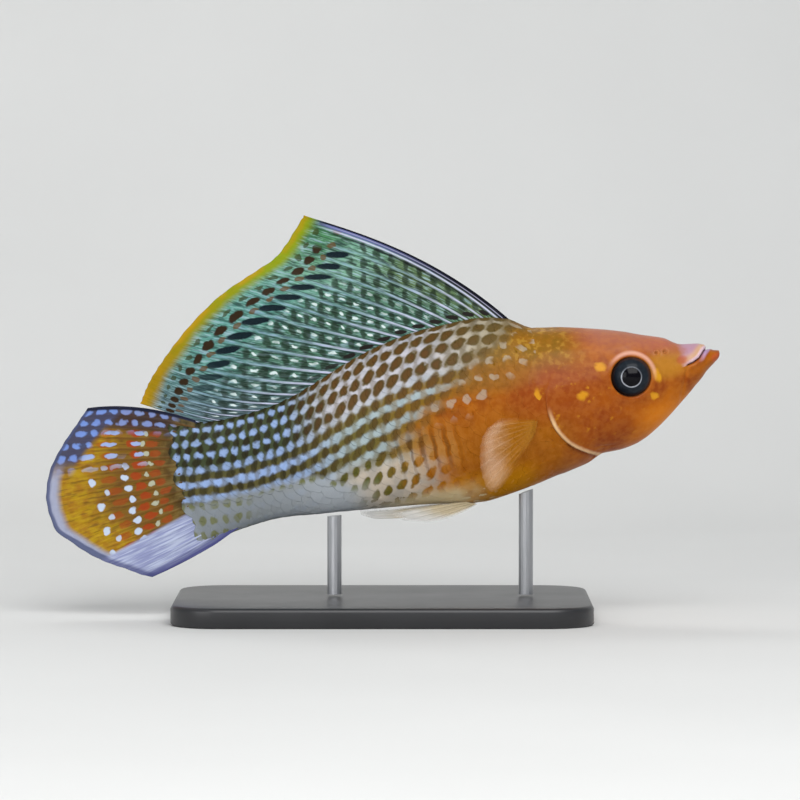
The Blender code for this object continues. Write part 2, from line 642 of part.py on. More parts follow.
def build():
    for thing in list(bpy.data.objects):
        bpy.data.objects.remove(thing, do_unlink=True)

    head, jaw = build_head()
    torso = loft("torso", np.r_[HEAD_END + GAP, 21.6, 22.6, 23.6, 24.6, 26.0, np.linspace(28, TORSO_END, 9)])
    build_gills(head, torso)
    stem = loft("tail_stem", np.r_[np.linspace(TORSO_END + GAP, 63, 6), 64.5, STEM_END], bulge=STEM_BULGE)
    for part in (head, jaw, torso, stem):
        tidy(part)

    eyes = []
    for side, name in ((-1, "eye_right"), (1, "eye_left")):
        eyes.append(ball(name, (EYE[0], EYE[1], side * EYE[2]), EYE_RADIUS, EYE_DEPTH))

    rows = np.array([0.0, 0.14, 0.34, 0.56, 0.78, 0.92, 1.0])
    sheet("dorsal_fin", dorsal_surface, dorsal_thickness, rows, ray_columns(DORSAL_RAYS))
    rows = np.array([0.0, 0.10, 0.24, 0.45, 0.70, 0.90, 1.0])
    sheet("caudal_fin", caudal_surface, caudal_thickness, rows, ray_columns(CAUDAL_RAYS))
    for side, name in ((-1, "right"), (1, "left")):
        rows = np.array([0.0, 0.18, 0.45, 0.75, 1.0])
        columns = ray_columns(PECTORAL_RAYS, 0.03, 0.97)
        sheet("pectoral_fin_" + name, pectoral_surface(side), pectoral_thickness, rows, columns)
        rows = np.array([0.0, 0.3, 0.65, 1.0])
        sheet("pelvic_fin_" + name, pelvic_surface(side), pelvic_thickness, rows, ray_columns(PELVIC_RAYS))
    rows = np.linspace(0, 1, 9)
    sheet("gonopodium", gono_surface, gono_thickness, rows, ray_columns(GONO_RAYS, 0.1, 0.9))
    build_stand()

    looks = {
        "head": ("head", 0.35), "lower_jaw": ("jaw", 0.35), "gill_cover": ("gill", 0.3),
        "eye": ("eye", 0.05), "torso": ("torso", 0.35), "tail_stem": ("stem", 0.35),
        "dorsal_fin": ("dorsal", 0.4), "caudal_fin": ("caudal", 0.4),
        "pectoral_fin": ("clear", 0.4), "pelvic_fin": ("pale", 0.4), "gonopodium": ("pale", 0.4),
        "stand_base": ("base", 0.3), "stand_rod": ("rod", 0.25),
    }
    for thing in bpy.data.objects:
        for start, (colour, rough) in looks.items():
            if thing.name.startswith(start):
                paint(thing, colour, rough, 1.0 if start == "stand_rod" else 0.0)
    for thing in bpy.data.objects:
        print(thing.name, len(thing.data.polygons), "triangles")
    print("all", sum(len(o.data.polygons) for o in bpy.data.objects))


build()
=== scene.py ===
# %% [markdown]
# # A sailfin molly, dressed
#
# The solids of this fish are already packed. This lesson gives them their looks: one
# skin, nearly six hundred scales, fins with branching rays and painted membranes, eyes
# and a small stand. Everything is drawn in the same straight-fish millimetres as the
# solids, and one function then pitches it nose up.

# %% The frame
import math

import bpy
import numpy as np
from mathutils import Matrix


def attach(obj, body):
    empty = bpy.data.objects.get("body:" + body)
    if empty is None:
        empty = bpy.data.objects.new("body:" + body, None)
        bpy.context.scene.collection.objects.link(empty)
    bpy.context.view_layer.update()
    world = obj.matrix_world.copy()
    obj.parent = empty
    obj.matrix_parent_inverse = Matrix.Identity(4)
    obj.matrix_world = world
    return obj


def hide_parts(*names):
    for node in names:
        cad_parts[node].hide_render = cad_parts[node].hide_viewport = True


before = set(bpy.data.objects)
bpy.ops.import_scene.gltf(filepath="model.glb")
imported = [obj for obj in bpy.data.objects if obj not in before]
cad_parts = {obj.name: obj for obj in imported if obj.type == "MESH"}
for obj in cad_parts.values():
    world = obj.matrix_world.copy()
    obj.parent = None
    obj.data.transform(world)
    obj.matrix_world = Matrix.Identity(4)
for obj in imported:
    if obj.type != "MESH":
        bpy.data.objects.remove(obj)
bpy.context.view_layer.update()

# %% [markdown]
# ## Straight fish and posed fish
#
# A fish is easiest to describe lying straight: `s` runs back from the tip of the lower
# jaw, `h` up from the body's axis, and `y` to its left. The pose is then only a pitch and
# a shift. Both the meshes and the materials use this rule, so markings stay on the body.

# %% Pose
MM = 0.001
PITCH = math.radians(13.5)
TIP_X = 42.067
TIP_Z = 33.25
COS, SIN = math.cos(PITCH), math.sin(PITCH)


def place(s, h, y):
    """World metres: x = TIP_X - s cos p - h sin p, z = TIP_Z - s sin p + h cos p."""
    s, h, y = np.broadcast_arrays(s, h, y)
    x = TIP_X - s * COS - h * SIN
    z = TIP_Z - s * SIN + h * COS
    return np.stack([x, y, z], -1) * MM


def smooth(table, s):
    """A line through the table's rows: cubic pieces whose slopes are the harmonic means
    of the slopes on both sides, so that it never overshoots."""
    s = np.asarray(s, float)
    xs, ys = np.array(table, float).T
    step = np.diff(xs)
    rise = np.diff(ys) / step
    slope = np.zeros(len(xs))
    slope[0], slope[-1] = rise[0], rise[-1]
    same = rise[:-1] * rise[1:] > 0
    slope[1:-1][same] = 2 * rise[:-1][same] * rise[1:][same] / (rise[:-1] + rise[1:])[same]
    k = np.clip(np.searchsorted(xs, s) - 1, 0, len(step) - 1)
    t = (s - xs[k]) / step[k]
    a = ys[k] * (1 + 2 * t) * (1 - t) ** 2 + ys[k + 1] * t * t * (3 - 2 * t)
    return a + step[k] * (slope[k] * t * (1 - t) ** 2 - slope[k + 1] * t * t * (1 - t))


def ease(x, low, high):
    """0 below low, 1 above high and a smooth step between: 3t^2 - 2t^3."""
    t = np.clip((x - low) / (high - low), 0, 1)
    return t * t * (3 - 2 * t)


# %% [markdown]
# ## The body's outline
#
# These are the same named lines that shape the solids: the back, the belly, the half
# width, where the body is widest, and how boxy each section is. A cross-section is a
# superellipse, an ellipse whose power can be set, because a fish is keeled on the back
# and rounder below.

# %% Outline of the body
TOP = [
    (0.0, 0.08), (0.7, 0.30), (1.3, 0.46), (1.5, 0.60), (1.75, 1.15), (2.3, 1.50),
    (3.5, 1.76), (4.6, 2.00), (5.2, 2.32), (6.3, 3.15), (7.3, 3.60), (9.0, 4.25),
    (11.2, 5.20), (15.0, 6.50), (18.6, 7.55), (22.2, 8.40), (23.4, 9.25), (24.6, 10.15),
    (27.0, 11.0), (30.0, 11.40), (35.4, 11.45), (39.9, 10.95), (44.8, 9.85), (49.8, 8.20),
    (53.2, 7.15), (57.0, 6.50), (61.5, 6.35), (66.0, 6.90), (69.0, 7.40),
]
BOTTOM = [
    (0.0, -0.30), (0.2, -0.72), (0.9, -1.25), (2.1, -2.05), (3.0, -2.85), (3.9, -3.50),
    (5.0, -4.35), (6.0, -5.05), (7.4, -6.05), (9.6, -7.45), (11.6, -8.45), (13.1, -8.90),
    (15.0, -9.10), (17.0, -9.02), (18.0, -9.30), (19.1, -9.75), (21.9, -10.25),
    (24.6, -10.75), (27.3, -11.15), (30.0, -11.45), (32.4, -11.60), (34.4, -11.40),
    (39.6, -10.30), (47.5, -9.10), (52.8, -8.35), (59.2, -7.60), (63.5, -7.90),
    (66.0, -8.40), (69.0, -8.90),
]
HALF_WIDTH = [
    (0.0, 0.30), (0.2, 0.88), (0.5, 1.22), (1.2, 1.60), (2.2, 2.05), (4.0, 2.55),
    (6.0, 3.15), (8.0, 3.85), (10.0, 4.50), (12.0, 4.95), (15.0, 5.45), (18.0, 5.80),
    (22.0, 6.00), (27.0, 6.00), (32.0, 5.70), (38.0, 5.00), (44.0, 4.10), (50.0, 3.20),
    (56.0, 2.40), (62.0, 1.75), (66.0, 1.30), (69.0, 0.70),
]
WIDEST_AT = [
    (0.0, -0.30), (4.0, -0.60), (8.0, -0.70), (12.0, -0.80), (18.0, -1.20), (25.0, -1.00),
    (35.0, -0.20), (50.0, 0.10), (69.0, 0.00),
]
ROUND_TOP = [(0.0, 2.2), (6.0, 2.5), (12.0, 2.3), (20.0, 1.9), (30.0, 1.75), (50.0, 1.8), (69.0, 2.0)]
ROUND_BOTTOM = [(0.0, 2.0), (10.0, 2.0), (20.0, 2.1), (30.0, 2.2), (69.0, 2.0)]
STEM_END = 66.0
STEM_BULGE = 1.3
SKIN_END = 68.0


def section(s, t):
    """A point of the cross-section at s. The angle t runs from the back, 0, to the belly,
    pi: y = w sin(t)^(2/n) and h = mid + H cos(t)^(2/n)."""
    top, bottom, wide = smooth(TOP, s), smooth(BOTTOM, s), smooth(HALF_WIDTH, s)
    mid = smooth(WIDEST_AT, s)
    c, d = np.cos(t), np.clip(np.sin(t), 0, 1)
    n = np.where(c > 0, smooth(ROUND_TOP, s), smooth(ROUND_BOTTOM, s))
    high = np.where(c > 0, top - mid, mid - bottom)
    return mid + high * np.sign(c) * np.abs(c) ** (2 / n), wide * d ** (2 / n)


def side_of_body(s, h):
    """Half width of the body at (s, h): w (1 - k^n)^(1/n), k the share of the way from
    the widest place to the back or belly."""
    top, bottom, mid = smooth(TOP, s), smooth(BOTTOM, s), smooth(WIDEST_AT, s)
    up = h > mid
    n = np.where(up, smooth(ROUND_TOP, s), smooth(ROUND_BOTTOM, s))
    k = np.clip(np.abs((h - mid) / np.where(up, top - mid, mid - bottom)), 0, 1)
    return smooth(HALF_WIDTH, s) * (1 - k**n) ** (1 / n)


# %% [markdown]
# ## Even steps round the body
#
# The angle `t` bunches points at the back and belly. Scales need rows of even width, so a
# table made once turns `q`, the share of the way round from back to belly, into `t`. It
# adds up the lengths of small steps along each section and reads that sum backwards.

# %% From share of the way round to angle
TABLE_S = np.linspace(0, SKIN_END, 275)
TABLE_Q = np.linspace(0, 1, 129)
fine_t = np.linspace(0, np.pi, 600)
fine_h, fine_y = section(TABLE_S[:, None], fine_t[None, :])
steps = np.hypot(np.diff(fine_h, axis=1), np.diff(fine_y, axis=1))
length = np.concatenate([np.zeros((len(TABLE_S), 1)), np.cumsum(steps, axis=1)], axis=1)
HALF_GIRTH = length[:, -1]
T_OF_Q = np.stack([np.interp(TABLE_Q * row[-1], row, fine_t) for row in length])
print("the body is", round(2 * float(HALF_GIRTH.max()), 1), "mm round at its deepest")


def body_point(s, q):
    """(s, h, y) on the plain body, q from 0 on the back to 1 on the belly. The tail end
    bows back by STEM_BULGE (1 - (h / 9)^2)."""
    s, q = np.broadcast_arrays(np.asarray(s, float), np.asarray(q, float))
    i = np.clip(s / SKIN_END, 0, 1) * (len(TABLE_S) - 1)
    j = np.clip(q, 0, 1) * (len(TABLE_Q) - 1)
    i0 = np.minimum(i.astype(int), len(TABLE_S) - 2)
    j0 = np.minimum(j.astype(int), len(TABLE_Q) - 2)
    a, b = i - i0, j - j0
    t = (T_OF_Q[i0, j0] * (1 - a) * (1 - b) + T_OF_Q[i0 + 1, j0] * a * (1 - b)
         + T_OF_Q[i0, j0 + 1] * (1 - a) * b + T_OF_Q[i0 + 1, j0 + 1] * a * b)
    h, y = section(s, t)
    back = s + STEM_BULGE * np.clip((s - STEM_END + 8) / 8, 0, 1) ** 2 * (1 - (h / 9) ** 2)
    return np.stack([back, h, y], -1)


def body_normal(s, q):
    """Outward direction, from small steps along and round the body."""
    along = body_point(s + 0.05, q) - body_point(s - 0.05, q)
    low, high = np.clip(q - 0.004, 0, 1), np.clip(q + 0.004, 0, 1)
    round_it = body_point(s, high) - body_point(s, low)
    out = np.cross(along, round_it)
    out /= np.linalg.norm(out, axis=-1, keepdims=True) + 1e-12
    return out * np.where(out[..., 2:] < -1e-6, -1, 1)


# %% [markdown]
# ## One way to make every mesh
#
# All shapes here are grids of points. The first helpers join the points into faces: an open
# sheet, a thin plate with two sides and a rim, or a closed ball of rings. `make_piece` then
# fills the UV maps and named attributes and shades every face smooth. `foreach_set` copies
# whole arrays into Blender, with no loop over points.

# %% Mesh helper
def grid_quads(rows, cols, wrap_cols=False):
    """Corner numbers of the quads between neighbouring points of a grid."""
    i = np.arange(rows - 1)[:, None]
    j = np.arange(cols if wrap_cols else cols - 1)[None, :]
    j1 = (j + 1) % cols
    quads = np.stack([i * cols + j, i * cols + j1, (i + 1) * cols + j1, (i + 1) * cols + j], -1)
    return quads.reshape(-1, 4)


def plate_faces(rows, cols):
    """Faces of a thin plate. Its top and its underside are the same grid, one after the
    other, and a strip round the rim joins them."""
    top = grid_quads(rows, cols)
    count = rows * cols
    edge = np.concatenate([
        np.arange(cols), np.arange(2, rows) * cols - 1,
        np.arange(count - 1, count - 1 - cols, -1), np.arange(rows - 2, 0, -1) * cols])
    near = np.roll(edge, -1)
    rim = np.stack([edge, edge + count, near + count, near], 1)
    return np.vstack([top, top[:, ::-1] + count, rim])


def ball_faces(rows, cols):
    """Faces of a closed tube of rings. Two more points after the grid close its ends."""
    j = np.arange(cols)
    k = (j + 1) % cols
    count = rows * cols
    last = count - cols
    front = np.stack([np.full(cols, count), j, k], 1)
    back = np.stack([np.full(cols, count + 1), last + k, last + j], 1)
    return [grid_quads(rows, cols, wrap_cols=True)[:, ::-1], front, back]


def make_piece(name, points, faces, maps=None, values=None, stands_for=(), flat=None):
    """A finished piece from placed points and lists of faces. maps are per-point UV pairs,
    values per-point numbers, and flat marks the faces that meet the others at a sharp edge."""
    counts = np.concatenate([np.full(len(f), f.shape[1]) for f in faces])
    loops = np.concatenate([f.ravel() for f in faces]).astype(np.int32)
    mesh = bpy.data.meshes.new(name)
    mesh.vertices.add(len(points))
    mesh.vertices.foreach_set("co", np.asarray(points, np.float32).ravel())
    mesh.loops.add(len(loops))
    mesh.loops.foreach_set("vertex_index", loops)
    mesh.polygons.add(len(counts))
    starts = np.concatenate([[0], np.cumsum(counts)[:-1]])
    mesh.polygons.foreach_set("loop_start", starts.astype(np.int32))
    for title, pairs in (maps or {}).items():
        layer = mesh.uv_layers.new(name=title)
        layer.uv.foreach_set("vector", np.asarray(pairs, np.float32)[loops].ravel())
    for title, numbers in (values or {}).items():
        layer = mesh.attributes.new(title, "FLOAT", "POINT")
        layer.data.foreach_set("value", np.asarray(numbers, np.float32).ravel())
    mesh.update(calc_edges=True)
    mesh.validate()
    mesh.shade_smooth()
    if flat is not None:
        mesh.polygons.foreach_set("use_smooth", ~flat)
    piece = bpy.data.objects.new(name, mesh)
    bpy.context.scene.collection.objects.link(piece)
    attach(piece, "root")
    if stands_for:
        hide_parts(*stands_for)
    print(name, "has", len(points), "points and", len(counts), "faces")
    return piece


# %% [markdown]
# ## The head's small forms
#
# The skin is the plain body moved in and out along its own normal. Each form of the head
# is one formula of a distance seen from the side: to the eye's centre, to the line of the
# mouth, to the edge of the gill cover. Bell curves make lips and rims, a steep step makes
# the free edge of the gill cover.

# %% Places on the head
EYE = (11.6, -0.35, 3.35)
EYE_RADIUS = 2.65
EYE_DEPTH = 2.0
OPENING = 2.42
RIM_RADIUS = 2.98
NOSTRILS = [(6.7, 1.65, 0.30), (7.8, 1.78, 0.20)]
MOUTH_BOW = 0.16
MOUTH_LINE = [
    (0.9, 1.05), (1.42, 0.72), (1.62, 0.32), (1.92, -0.15), (2.6, -0.50), (3.5, -0.72),
    (4.3, -0.86),
]
JAW_LINE = [(4.3, -0.86), (4.75, -1.5), (5.2, -2.5), (5.75, -3.8), (6.3, -5.6)]
GILL_OUTLINE = [
    (16.3, 3.15), (18.6, 3.3), (20.8, 2.35), (22.2, 0.75), (22.75, -1.8), (22.35, -4.5),
    (21.0, -6.8), (18.9, -8.5), (16.2, -9.9), (13.6, -10.4), (13.0, -8.6), (14.3, -5.2),
    (15.2, -1.8), (15.45, 1.4),
]


def rounded(outline, share=6):
    """A closed Catmull-Rom line through the outline's points."""
    p = np.array(outline, float)
    a, c, d = np.roll(p, 1, 0), np.roll(p, -1, 0), np.roll(p, -2, 0)
    pieces = []
    for t in np.arange(share) / share:
        pieces.append(0.5 * (2 * p + (c - a) * t + (2 * a - 5 * p + 4 * c - d) * t**2
                             + (3 * p - a - 3 * c + d) * t**3))
    return np.stack(pieces, 1).reshape(-1, 2)


def distance_to(line, s, h, closed=False):
    """Distance from (s, h) to a line of points, below zero on its right-hand side, or
    outside it where it is closed."""
    line = np.array(line, float)
    starts, ends = (line, np.roll(line, -1, 0)) if closed else (line[:-1], line[1:])
    near = np.full(s.shape, 1e9)
    sign = np.ones(s.shape)
    inside = np.zeros(s.shape, bool)
    for (s0, h0), (s1, h1) in zip(starts, ends):
        ds, dh = s1 - s0, h1 - h0
        t = np.clip(((s - s0) * ds + (h - h0) * dh) / (ds * ds + dh * dh), 0, 1)
        away = np.hypot(s - s0 - t * ds, h - h0 - t * dh)
        nearer = away < near
        near = np.where(nearer, away, near)
        sign = np.where(nearer, np.where(ds * (h - h0) - dh * (s - s0) > 0, 1, -1), sign)
        crosses = (h0 > h) != (h1 > h)
        inside ^= crosses & (s < s0 + (h - h0) * ds / np.where(dh == 0, 1e-9, dh))
    return near * (np.where(inside, 1, -1) if closed else sign)


def bell(x, width):
    """1 at x = 0, falling smoothly: exp(-(x / width)^2)."""
    return np.exp(-(x / width) ** 2)


def head_forms(s, h, y):
    """How far the skin moves out, in mm, and the distances that its paint also uses."""
    from_eye = np.hypot(s - EYE[0], h - EYE[1])
    on_side = ease(np.abs(y), 0.8, 1.6)
    out = on_side * (0.07 * bell(from_eye - RIM_RADIUS, 0.40) - 0.02 * bell(from_eye - 3.75, 0.5))
    out -= on_side * 1.9 * ease(-from_eye, -(OPENING + 0.16), -(OPENING - 0.28))
    out += 0.16 * on_side * bell(np.hypot((s - 11.2) / 1.5, (h - 3.5) / 0.5), 1.0)

    mouth = distance_to(MOUTH_LINE, s - MOUTH_BOW * y * y, h)
    at_mouth = ease(-s, -4.75, -4.0) * ease(s, 0.5, 1.0)
    out += at_mouth * (0.13 * bell(np.abs(mouth) - 0.42, 0.26) - 0.34 * bell(mouth, 0.09))
    jaw = distance_to(JAW_LINE, s, h)
    out -= 0.08 * bell(jaw, 0.22) * ease(np.abs(y), 0.2, 0.9)
    out += 0.10 * bell(np.hypot(s - 5.4, h + 0.9), 0.9) * on_side

    for s0, h0, size in NOSTRILS:
        r = np.hypot(s - s0, h - h0)
        out += on_side * (0.09 * bell(r - size * 1.35, 0.14) - 0.40 * bell(r, size * 0.72))

    gill = distance_to(rounded(GILL_OUTLINE), s, h, closed=True)
    free_edge = ease(s, 14.6, 17.0) * ease(np.abs(y), 0.9, 1.5) * (1 - 0.9 * ease(h, -1.5, 1.5))
    lid = 0.13 * np.exp(-np.clip(gill, 0, None) / 1.4)
    behind = -0.34 * np.exp(-np.clip(-gill, 0, None) / 0.7)
    out += free_edge * (behind + (lid - behind) * ease(gill, -0.07, 0.07))
    front_edge = ease(-s, -17.4, -15.9) * ease(h, -9.2, -7.6)
    out -= 0.020 * front_edge * bell(gill - 0.15, 0.8) * ease(np.abs(y), 1.5, 2.5)
    cheek = np.hypot((s - 14.2) / 2.6, (h + 4.6) / 2.6)
    out += 0.14 * bell(cheek, 1.0) * on_side
    for k in range(3):
        ray = distance_to([(13.6 + 0.9 * k, -8.0 - 0.15 * k), (20.4 + 0.2 * k, -8.6 + 0.75 * k)], s, h)
        out -= 0.05 * bell(ray, 0.12) * ease(gill, 0.2, 0.8) * free_edge
    return out, from_eye, mouth, gill


# %% [markdown]
# ## The skin
#
# One closed skin covers head, jaw, gill covers, torso and tail stem, so no seam shows.
# Rings stand close together where forms are small, at the mouth, eye and gill edge, and
# far apart under the scales. Behind the gill cover it lies deeper by the coat's depth.

# %% Skin
COAT_DEPTH = 0.13
NOSE_HEIGHT = -0.12
FAR_AWAY = 9.0
SKIN_AROUND = 288
SKIN_STEPS = [(0.03, 5.2, 0.065), (5.2, 8.4, 0.12), (8.4, 15.0, 0.105), (15.0, 18.8, 0.17),
              (18.8, 23.8, 0.10), (23.8, SKIN_END, 0.62)]


def coat_start(h):
    """Where the scales begin: the nape above, the gill cover's edge and the chest."""
    return 22.0 + 0.9 * ease(h, -6.0, 0.0) - 1.6 * ease(h, 2.0, 6.0)


def tail_taper(s):
    """The stem thins where it runs into the tail fin."""
    return 1 - 0.55 * ease(s, 66.2, SKIN_END)


def make_skin():
    """P + n (forms - coat): each point of the plain body, moved along its normal by the
    head's forms less the depth of the coat, and one point to close each end."""
    rings = np.concatenate([np.arange(a, b - step / 2, step) for a, b, step in SKIN_STEPS])
    rings = np.append(rings, SKIN_END)
    turn = np.arange(SKIN_AROUND) / SKIN_AROUND
    q = np.where(turn < 0.5, 2 * turn, 2 - 2 * turn)
    side = np.where(turn < 0.5, 1.0, -1.0)
    s, q = np.meshgrid(rings, q, indexing="ij")
    plain = body_point(s, q)
    out, from_eye, mouth, gill = head_forms(plain[..., 0], plain[..., 1], plain[..., 2])
    under = COAT_DEPTH * ease(s - coat_start(plain[..., 1]), 0.0, 1.5)
    skin = plain + body_normal(s, q) * (out - under)[..., None]
    points = place(skin[..., 0], skin[..., 1], skin[..., 2] * tail_taper(s) * side).reshape(-1, 3)
    ends = place(np.array([0.0, SKIN_END + STEM_BULGE]), np.array([NOSE_HEIGHT, 0.0]), 0.0)
    along, around = np.broadcast_arrays((rings / SKIN_END)[:, None], turn)
    bake = np.stack([0.02 + 0.96 * along, 0.02 + 0.96 * around], -1).reshape(-1, 2)
    forms = {"eye_mm": from_eye, "mouth_mm": mouth, "gill_mm": gill}
    return make_piece(
        "skin", np.vstack([points, ends]), ball_faces(*s.shape),
        {"OFBake": np.vstack([bake, [[0.01, 0.5], [0.99, 0.5]]])},
        {title: np.append(form.ravel(), [FAR_AWAY] * 2) for title, form in forms.items()},
        ("head", "lower_jaw", "gill_cover_right", "gill_cover_left", "torso", "tail_stem"))


skin = make_skin()

# %% [markdown]
# ## The scales
#
# A molly's scales are round plates in long rows, each lying over the one behind it like a
# roof tile laid from the head. A row keeps its distance from the back, so the lowest rows
# end on the belly one after another as the body gets slimmer. Every scale here is one small
# grid with a top, an underside and a rim, and its lines crowd towards the rim, so that only
# a thin edge looks rounded. The points are first worked out along and round the body, so
# that each scale bends with it, and only then lifted off the skin. All scales of a side are
# built at once as one array.

# %% Scales
SCALE_ROWS = 14
SCALE_LINES = np.array([0.0, 0.22, 0.45, 0.67, 0.86, 0.975, 1.0])
SCALE_SIDES = np.array([-1.0, -0.95, -0.55, 0.0, 0.55, 0.95, 1.0])
SCALE_ALONG = len(SCALE_LINES)
SCALE_ACROSS = len(SCALE_SIDES)
ROW_WIDTH = [(18.0, 2.12), (38.0, 2.03), (52.0, 1.88), (69.0, 1.74)]
ROW_PLACE = [(0, 0.0), (1, 0.85), (2, 1.72), (3, 2.64), (4, 3.6), (5, 4.63), (6, 5.7), (7, 6.8),
             (14, 14.5)]
LOWEST_SHARE = 0.965
SCALE_PITCH = [(18.0, 2.0), (34.0, 2.02), (40.0, 1.88), (44.0, 1.72), (49.0, 1.60), (54.0, 1.38),
               (58.0, 1.30), (72.0, 1.28)]
SCALE_LONG = 1.95
SCALE_HIGH = 1.04
SCALE_TILT = 0.095
SCALE_ARCH = 0.03
SCALE_SUNK = 0.12
SCALE_THICK = 0.025
TAIL_LIFT = 0.13
FIRST_SCALE = 17.6
BAKE_PATCH = 0.003
MARKS_IN_MAP = 100


def girth(s):
    """Millimetres round the body from back to belly."""
    return np.interp(s, TABLE_S, HALF_GIRTH)


def scale_pitch(s):
    """Step from one scale to the next in a row: shorter towards the tail."""
    return smooth(SCALE_PITCH, s)


def row_place(row):
    """Where a row lies, counted in mean row widths: the rows near the back are slimmer."""
    return np.interp(row, *np.array(ROW_PLACE).T)


starts = [FIRST_SCALE]
while starts[-1] < STEM_END + 4:
    starts.append(starts[-1] + float(scale_pitch(starts[-1])))
SCALE_STARTS = np.array(starts)


def steps_back(s):
    """How many scales lie between the first one and s."""
    return np.interp(s, SCALE_STARTS, np.arange(len(SCALE_STARTS)))


def scale_roots():
    """Root place s, row number and pitch of every scale. Each second row is shifted by half
    a pitch, and a row ends where it meets the belly."""
    starts = SCALE_STARTS[SCALE_STARTS < STEM_END + 0.4]
    roots = []
    for row in range(SCALE_ROWS):
        here = starts + 0.5 * (row % 2) * scale_pitch(starts)
        share = row_place(row + 0.5) * smooth(ROW_WIDTH, here) / girth(here)
        h = body_point(here, np.clip(share, 0, 1))[:, 1]
        keep = (here + scale_pitch(here) > coat_start(h)) & (here < STEM_END + 0.3) & (share < LOWEST_SHARE)
        roots += [(s, row, scale_pitch(s)) for s in here[keep]]
    return np.array(roots)


def make_scales(name, side, seed):
    """All scales of one side. With a from root to edge and b from -1 to 1 across, a point
    lies at s = root + long (a (1 - 0.38 b^2) + 0.04 b^2), which rounds the free edge. It
    rises by SCALE_TILT a + SCALE_ARCH (1 - b^2), less where the scales lie flat, and the
    last scales rise by TAIL_LIFT more, over the tail fin's rays."""
    rng = np.random.default_rng(seed)
    s0, row, pitch = (part[:, None, None] for part in scale_roots().T)
    count = len(s0)
    luck = rng.uniform(0, 1, (count, 1, 1))
    a = SCALE_LINES[None, :, None]
    b = SCALE_SIDES[None, None, :]
    long = pitch * SCALE_LONG * (0.97 + 0.06 * luck)
    waist = 0.72 + 0.28 * np.sin(np.pi * np.clip(a * 1.25, 0, 1)) ** 0.7
    s = s0 + long * (a * (1 - 0.38 * b * b) + 0.04 * b * b)
    middle = row_place(row + 0.5) * smooth(ROW_WIDTH, s)
    high = SCALE_HIGH * (row_place(row + 1) - row_place(row)) * smooth(ROW_WIDTH, s0)
    q = (middle + high * b * waist) / girth(s)
    turned = np.where(q > 1, 2 - q, np.abs(q))
    over = np.where((q < 0) | (q > 1), -1.0, 1.0)
    base = body_point(s, turned)
    normal = body_normal(s, turned)
    low = row_place(row + 0.5) * smooth(ROW_WIDTH, s0) / girth(s0)
    stand_up = 0.13 + 0.87 * ease(s0, 29.0, 40.0) * ease(-row, -7.5, -4.5) * ease(-low, -0.74, -0.58)
    lift = stand_up * (SCALE_TILT * a + SCALE_ARCH * (1 - b * b)) - SCALE_SUNK + 0.006 * luck
    lift = lift + TAIL_LIFT * ease(s, STEM_END - 0.5, STEM_END + 1.5)
    thick = SCALE_THICK * (1 - 0.5 * a) + 0 * b
    layers = []
    for depth in (0.0, 1.0):
        p = base + normal * (lift - depth * thick)[..., None]
        layers.append(place(p[..., 0], p[..., 1], p[..., 2] * side * over * tail_taper(s)))
    points = np.stack(layers, 1).reshape(-1, 3)
    shape = (count, 2, SCALE_ALONG, SCALE_ACROSS)
    plate = plate_faces(SCALE_ALONG, SCALE_ACROSS)
    first_points = 2 * SCALE_ALONG * SCALE_ACROSS * np.arange(count)
    faces = (plate[None] + first_points[:, None, None]).reshape(-1, 4)
    if side > 0:
        faces = faces[:, ::-1]

    def spread(first, second):
        """One UV map from two arrays that are the same on both layers."""
        pair = np.stack(np.broadcast_arrays(first + 0 * a * b, second + 0 * a * b), -1)
        return np.broadcast_to(pair[:, None], (*shape, 2)).reshape(-1, 2)

    corner = 0.04 + 0.92 * (s0 - 15) / 55, 0.04 + 0.92 * low
    rows_down = np.interp(turned * girth(s) / smooth(ROW_WIDTH, s), *np.array(ROW_PLACE).T[::-1])
    maps = {
        "OFBake": spread(corner[0] + (a - 0.5) * BAKE_PATCH, corner[1] + b / 2 * BAKE_PATCH),
        "scale": spread(a + 0 * luck, (b + 1) / 2 + 0 * luck),
        "marks": spread(steps_back(s) / MARKS_IN_MAP, rows_down / MARKS_IN_MAP),
    }
    values = {"luck": np.broadcast_to(luck[:, None], shape)}
    flat = np.tile(np.arange(len(plate)) >= 2 * (SCALE_ALONG - 1) * (SCALE_ACROSS - 1), count)
    return make_piece(name, points, [faces], maps, values, flat=flat)


scales_right = make_scales("scales_right", -1, 3)
scales_left = make_scales("scales_left", 1, 4)

# %% [markdown]
# ## Fins
#
# A fin is a middle surface given by two shares: `u` along a ray and `v` from the first ray
# to the last. Its thickness swells over each ray, and each ray splits twice on its way
# out, as soft rays do. Front and back are the same grid pushed apart, closed by a rim.
# The materials get two maps: `fin` holds `u` and the ray number, `reach` the distances from
# the root and from the edge. Both are divided by a fixed number, to stay between 0 and 1.

# %% Fin helper
RAYS_IN_MAP = 20
REACH_IN_MAP = 50


def along_line(line, share):
    """The point (s, h) at a share of the way along a line of rows (share, s, h)."""
    line = np.array(line)
    return smooth(line[:, [0, 1]], share), smooth(line[:, [0, 2]], share)


def branches(u, v, rays, first, last, split_at):
    """How high the rays stand, 0 to 1. Seen across, a ray is half a circle; beyond
    split_at it is two, and further out four, that spread apart."""
    count = (v - first) / (last - first) * (rays - 1)
    away = np.abs(count - np.clip(np.round(count), 0, rays - 1))
    fork = 0.17 * ease(u, split_at, split_at + 0.38)
    twig = 0.075 * ease(u, split_at + 0.30, split_at + 0.52)
    away = np.abs(away - fork)
    away = np.abs(away - twig)
    wide = 0.15 - 0.05 * ease(u, split_at, split_at + 0.35) - 0.045 * ease(u, split_at + 0.3, 1.0)
    return np.sqrt(np.clip(1 - (away / wide) ** 2, 0, 1))


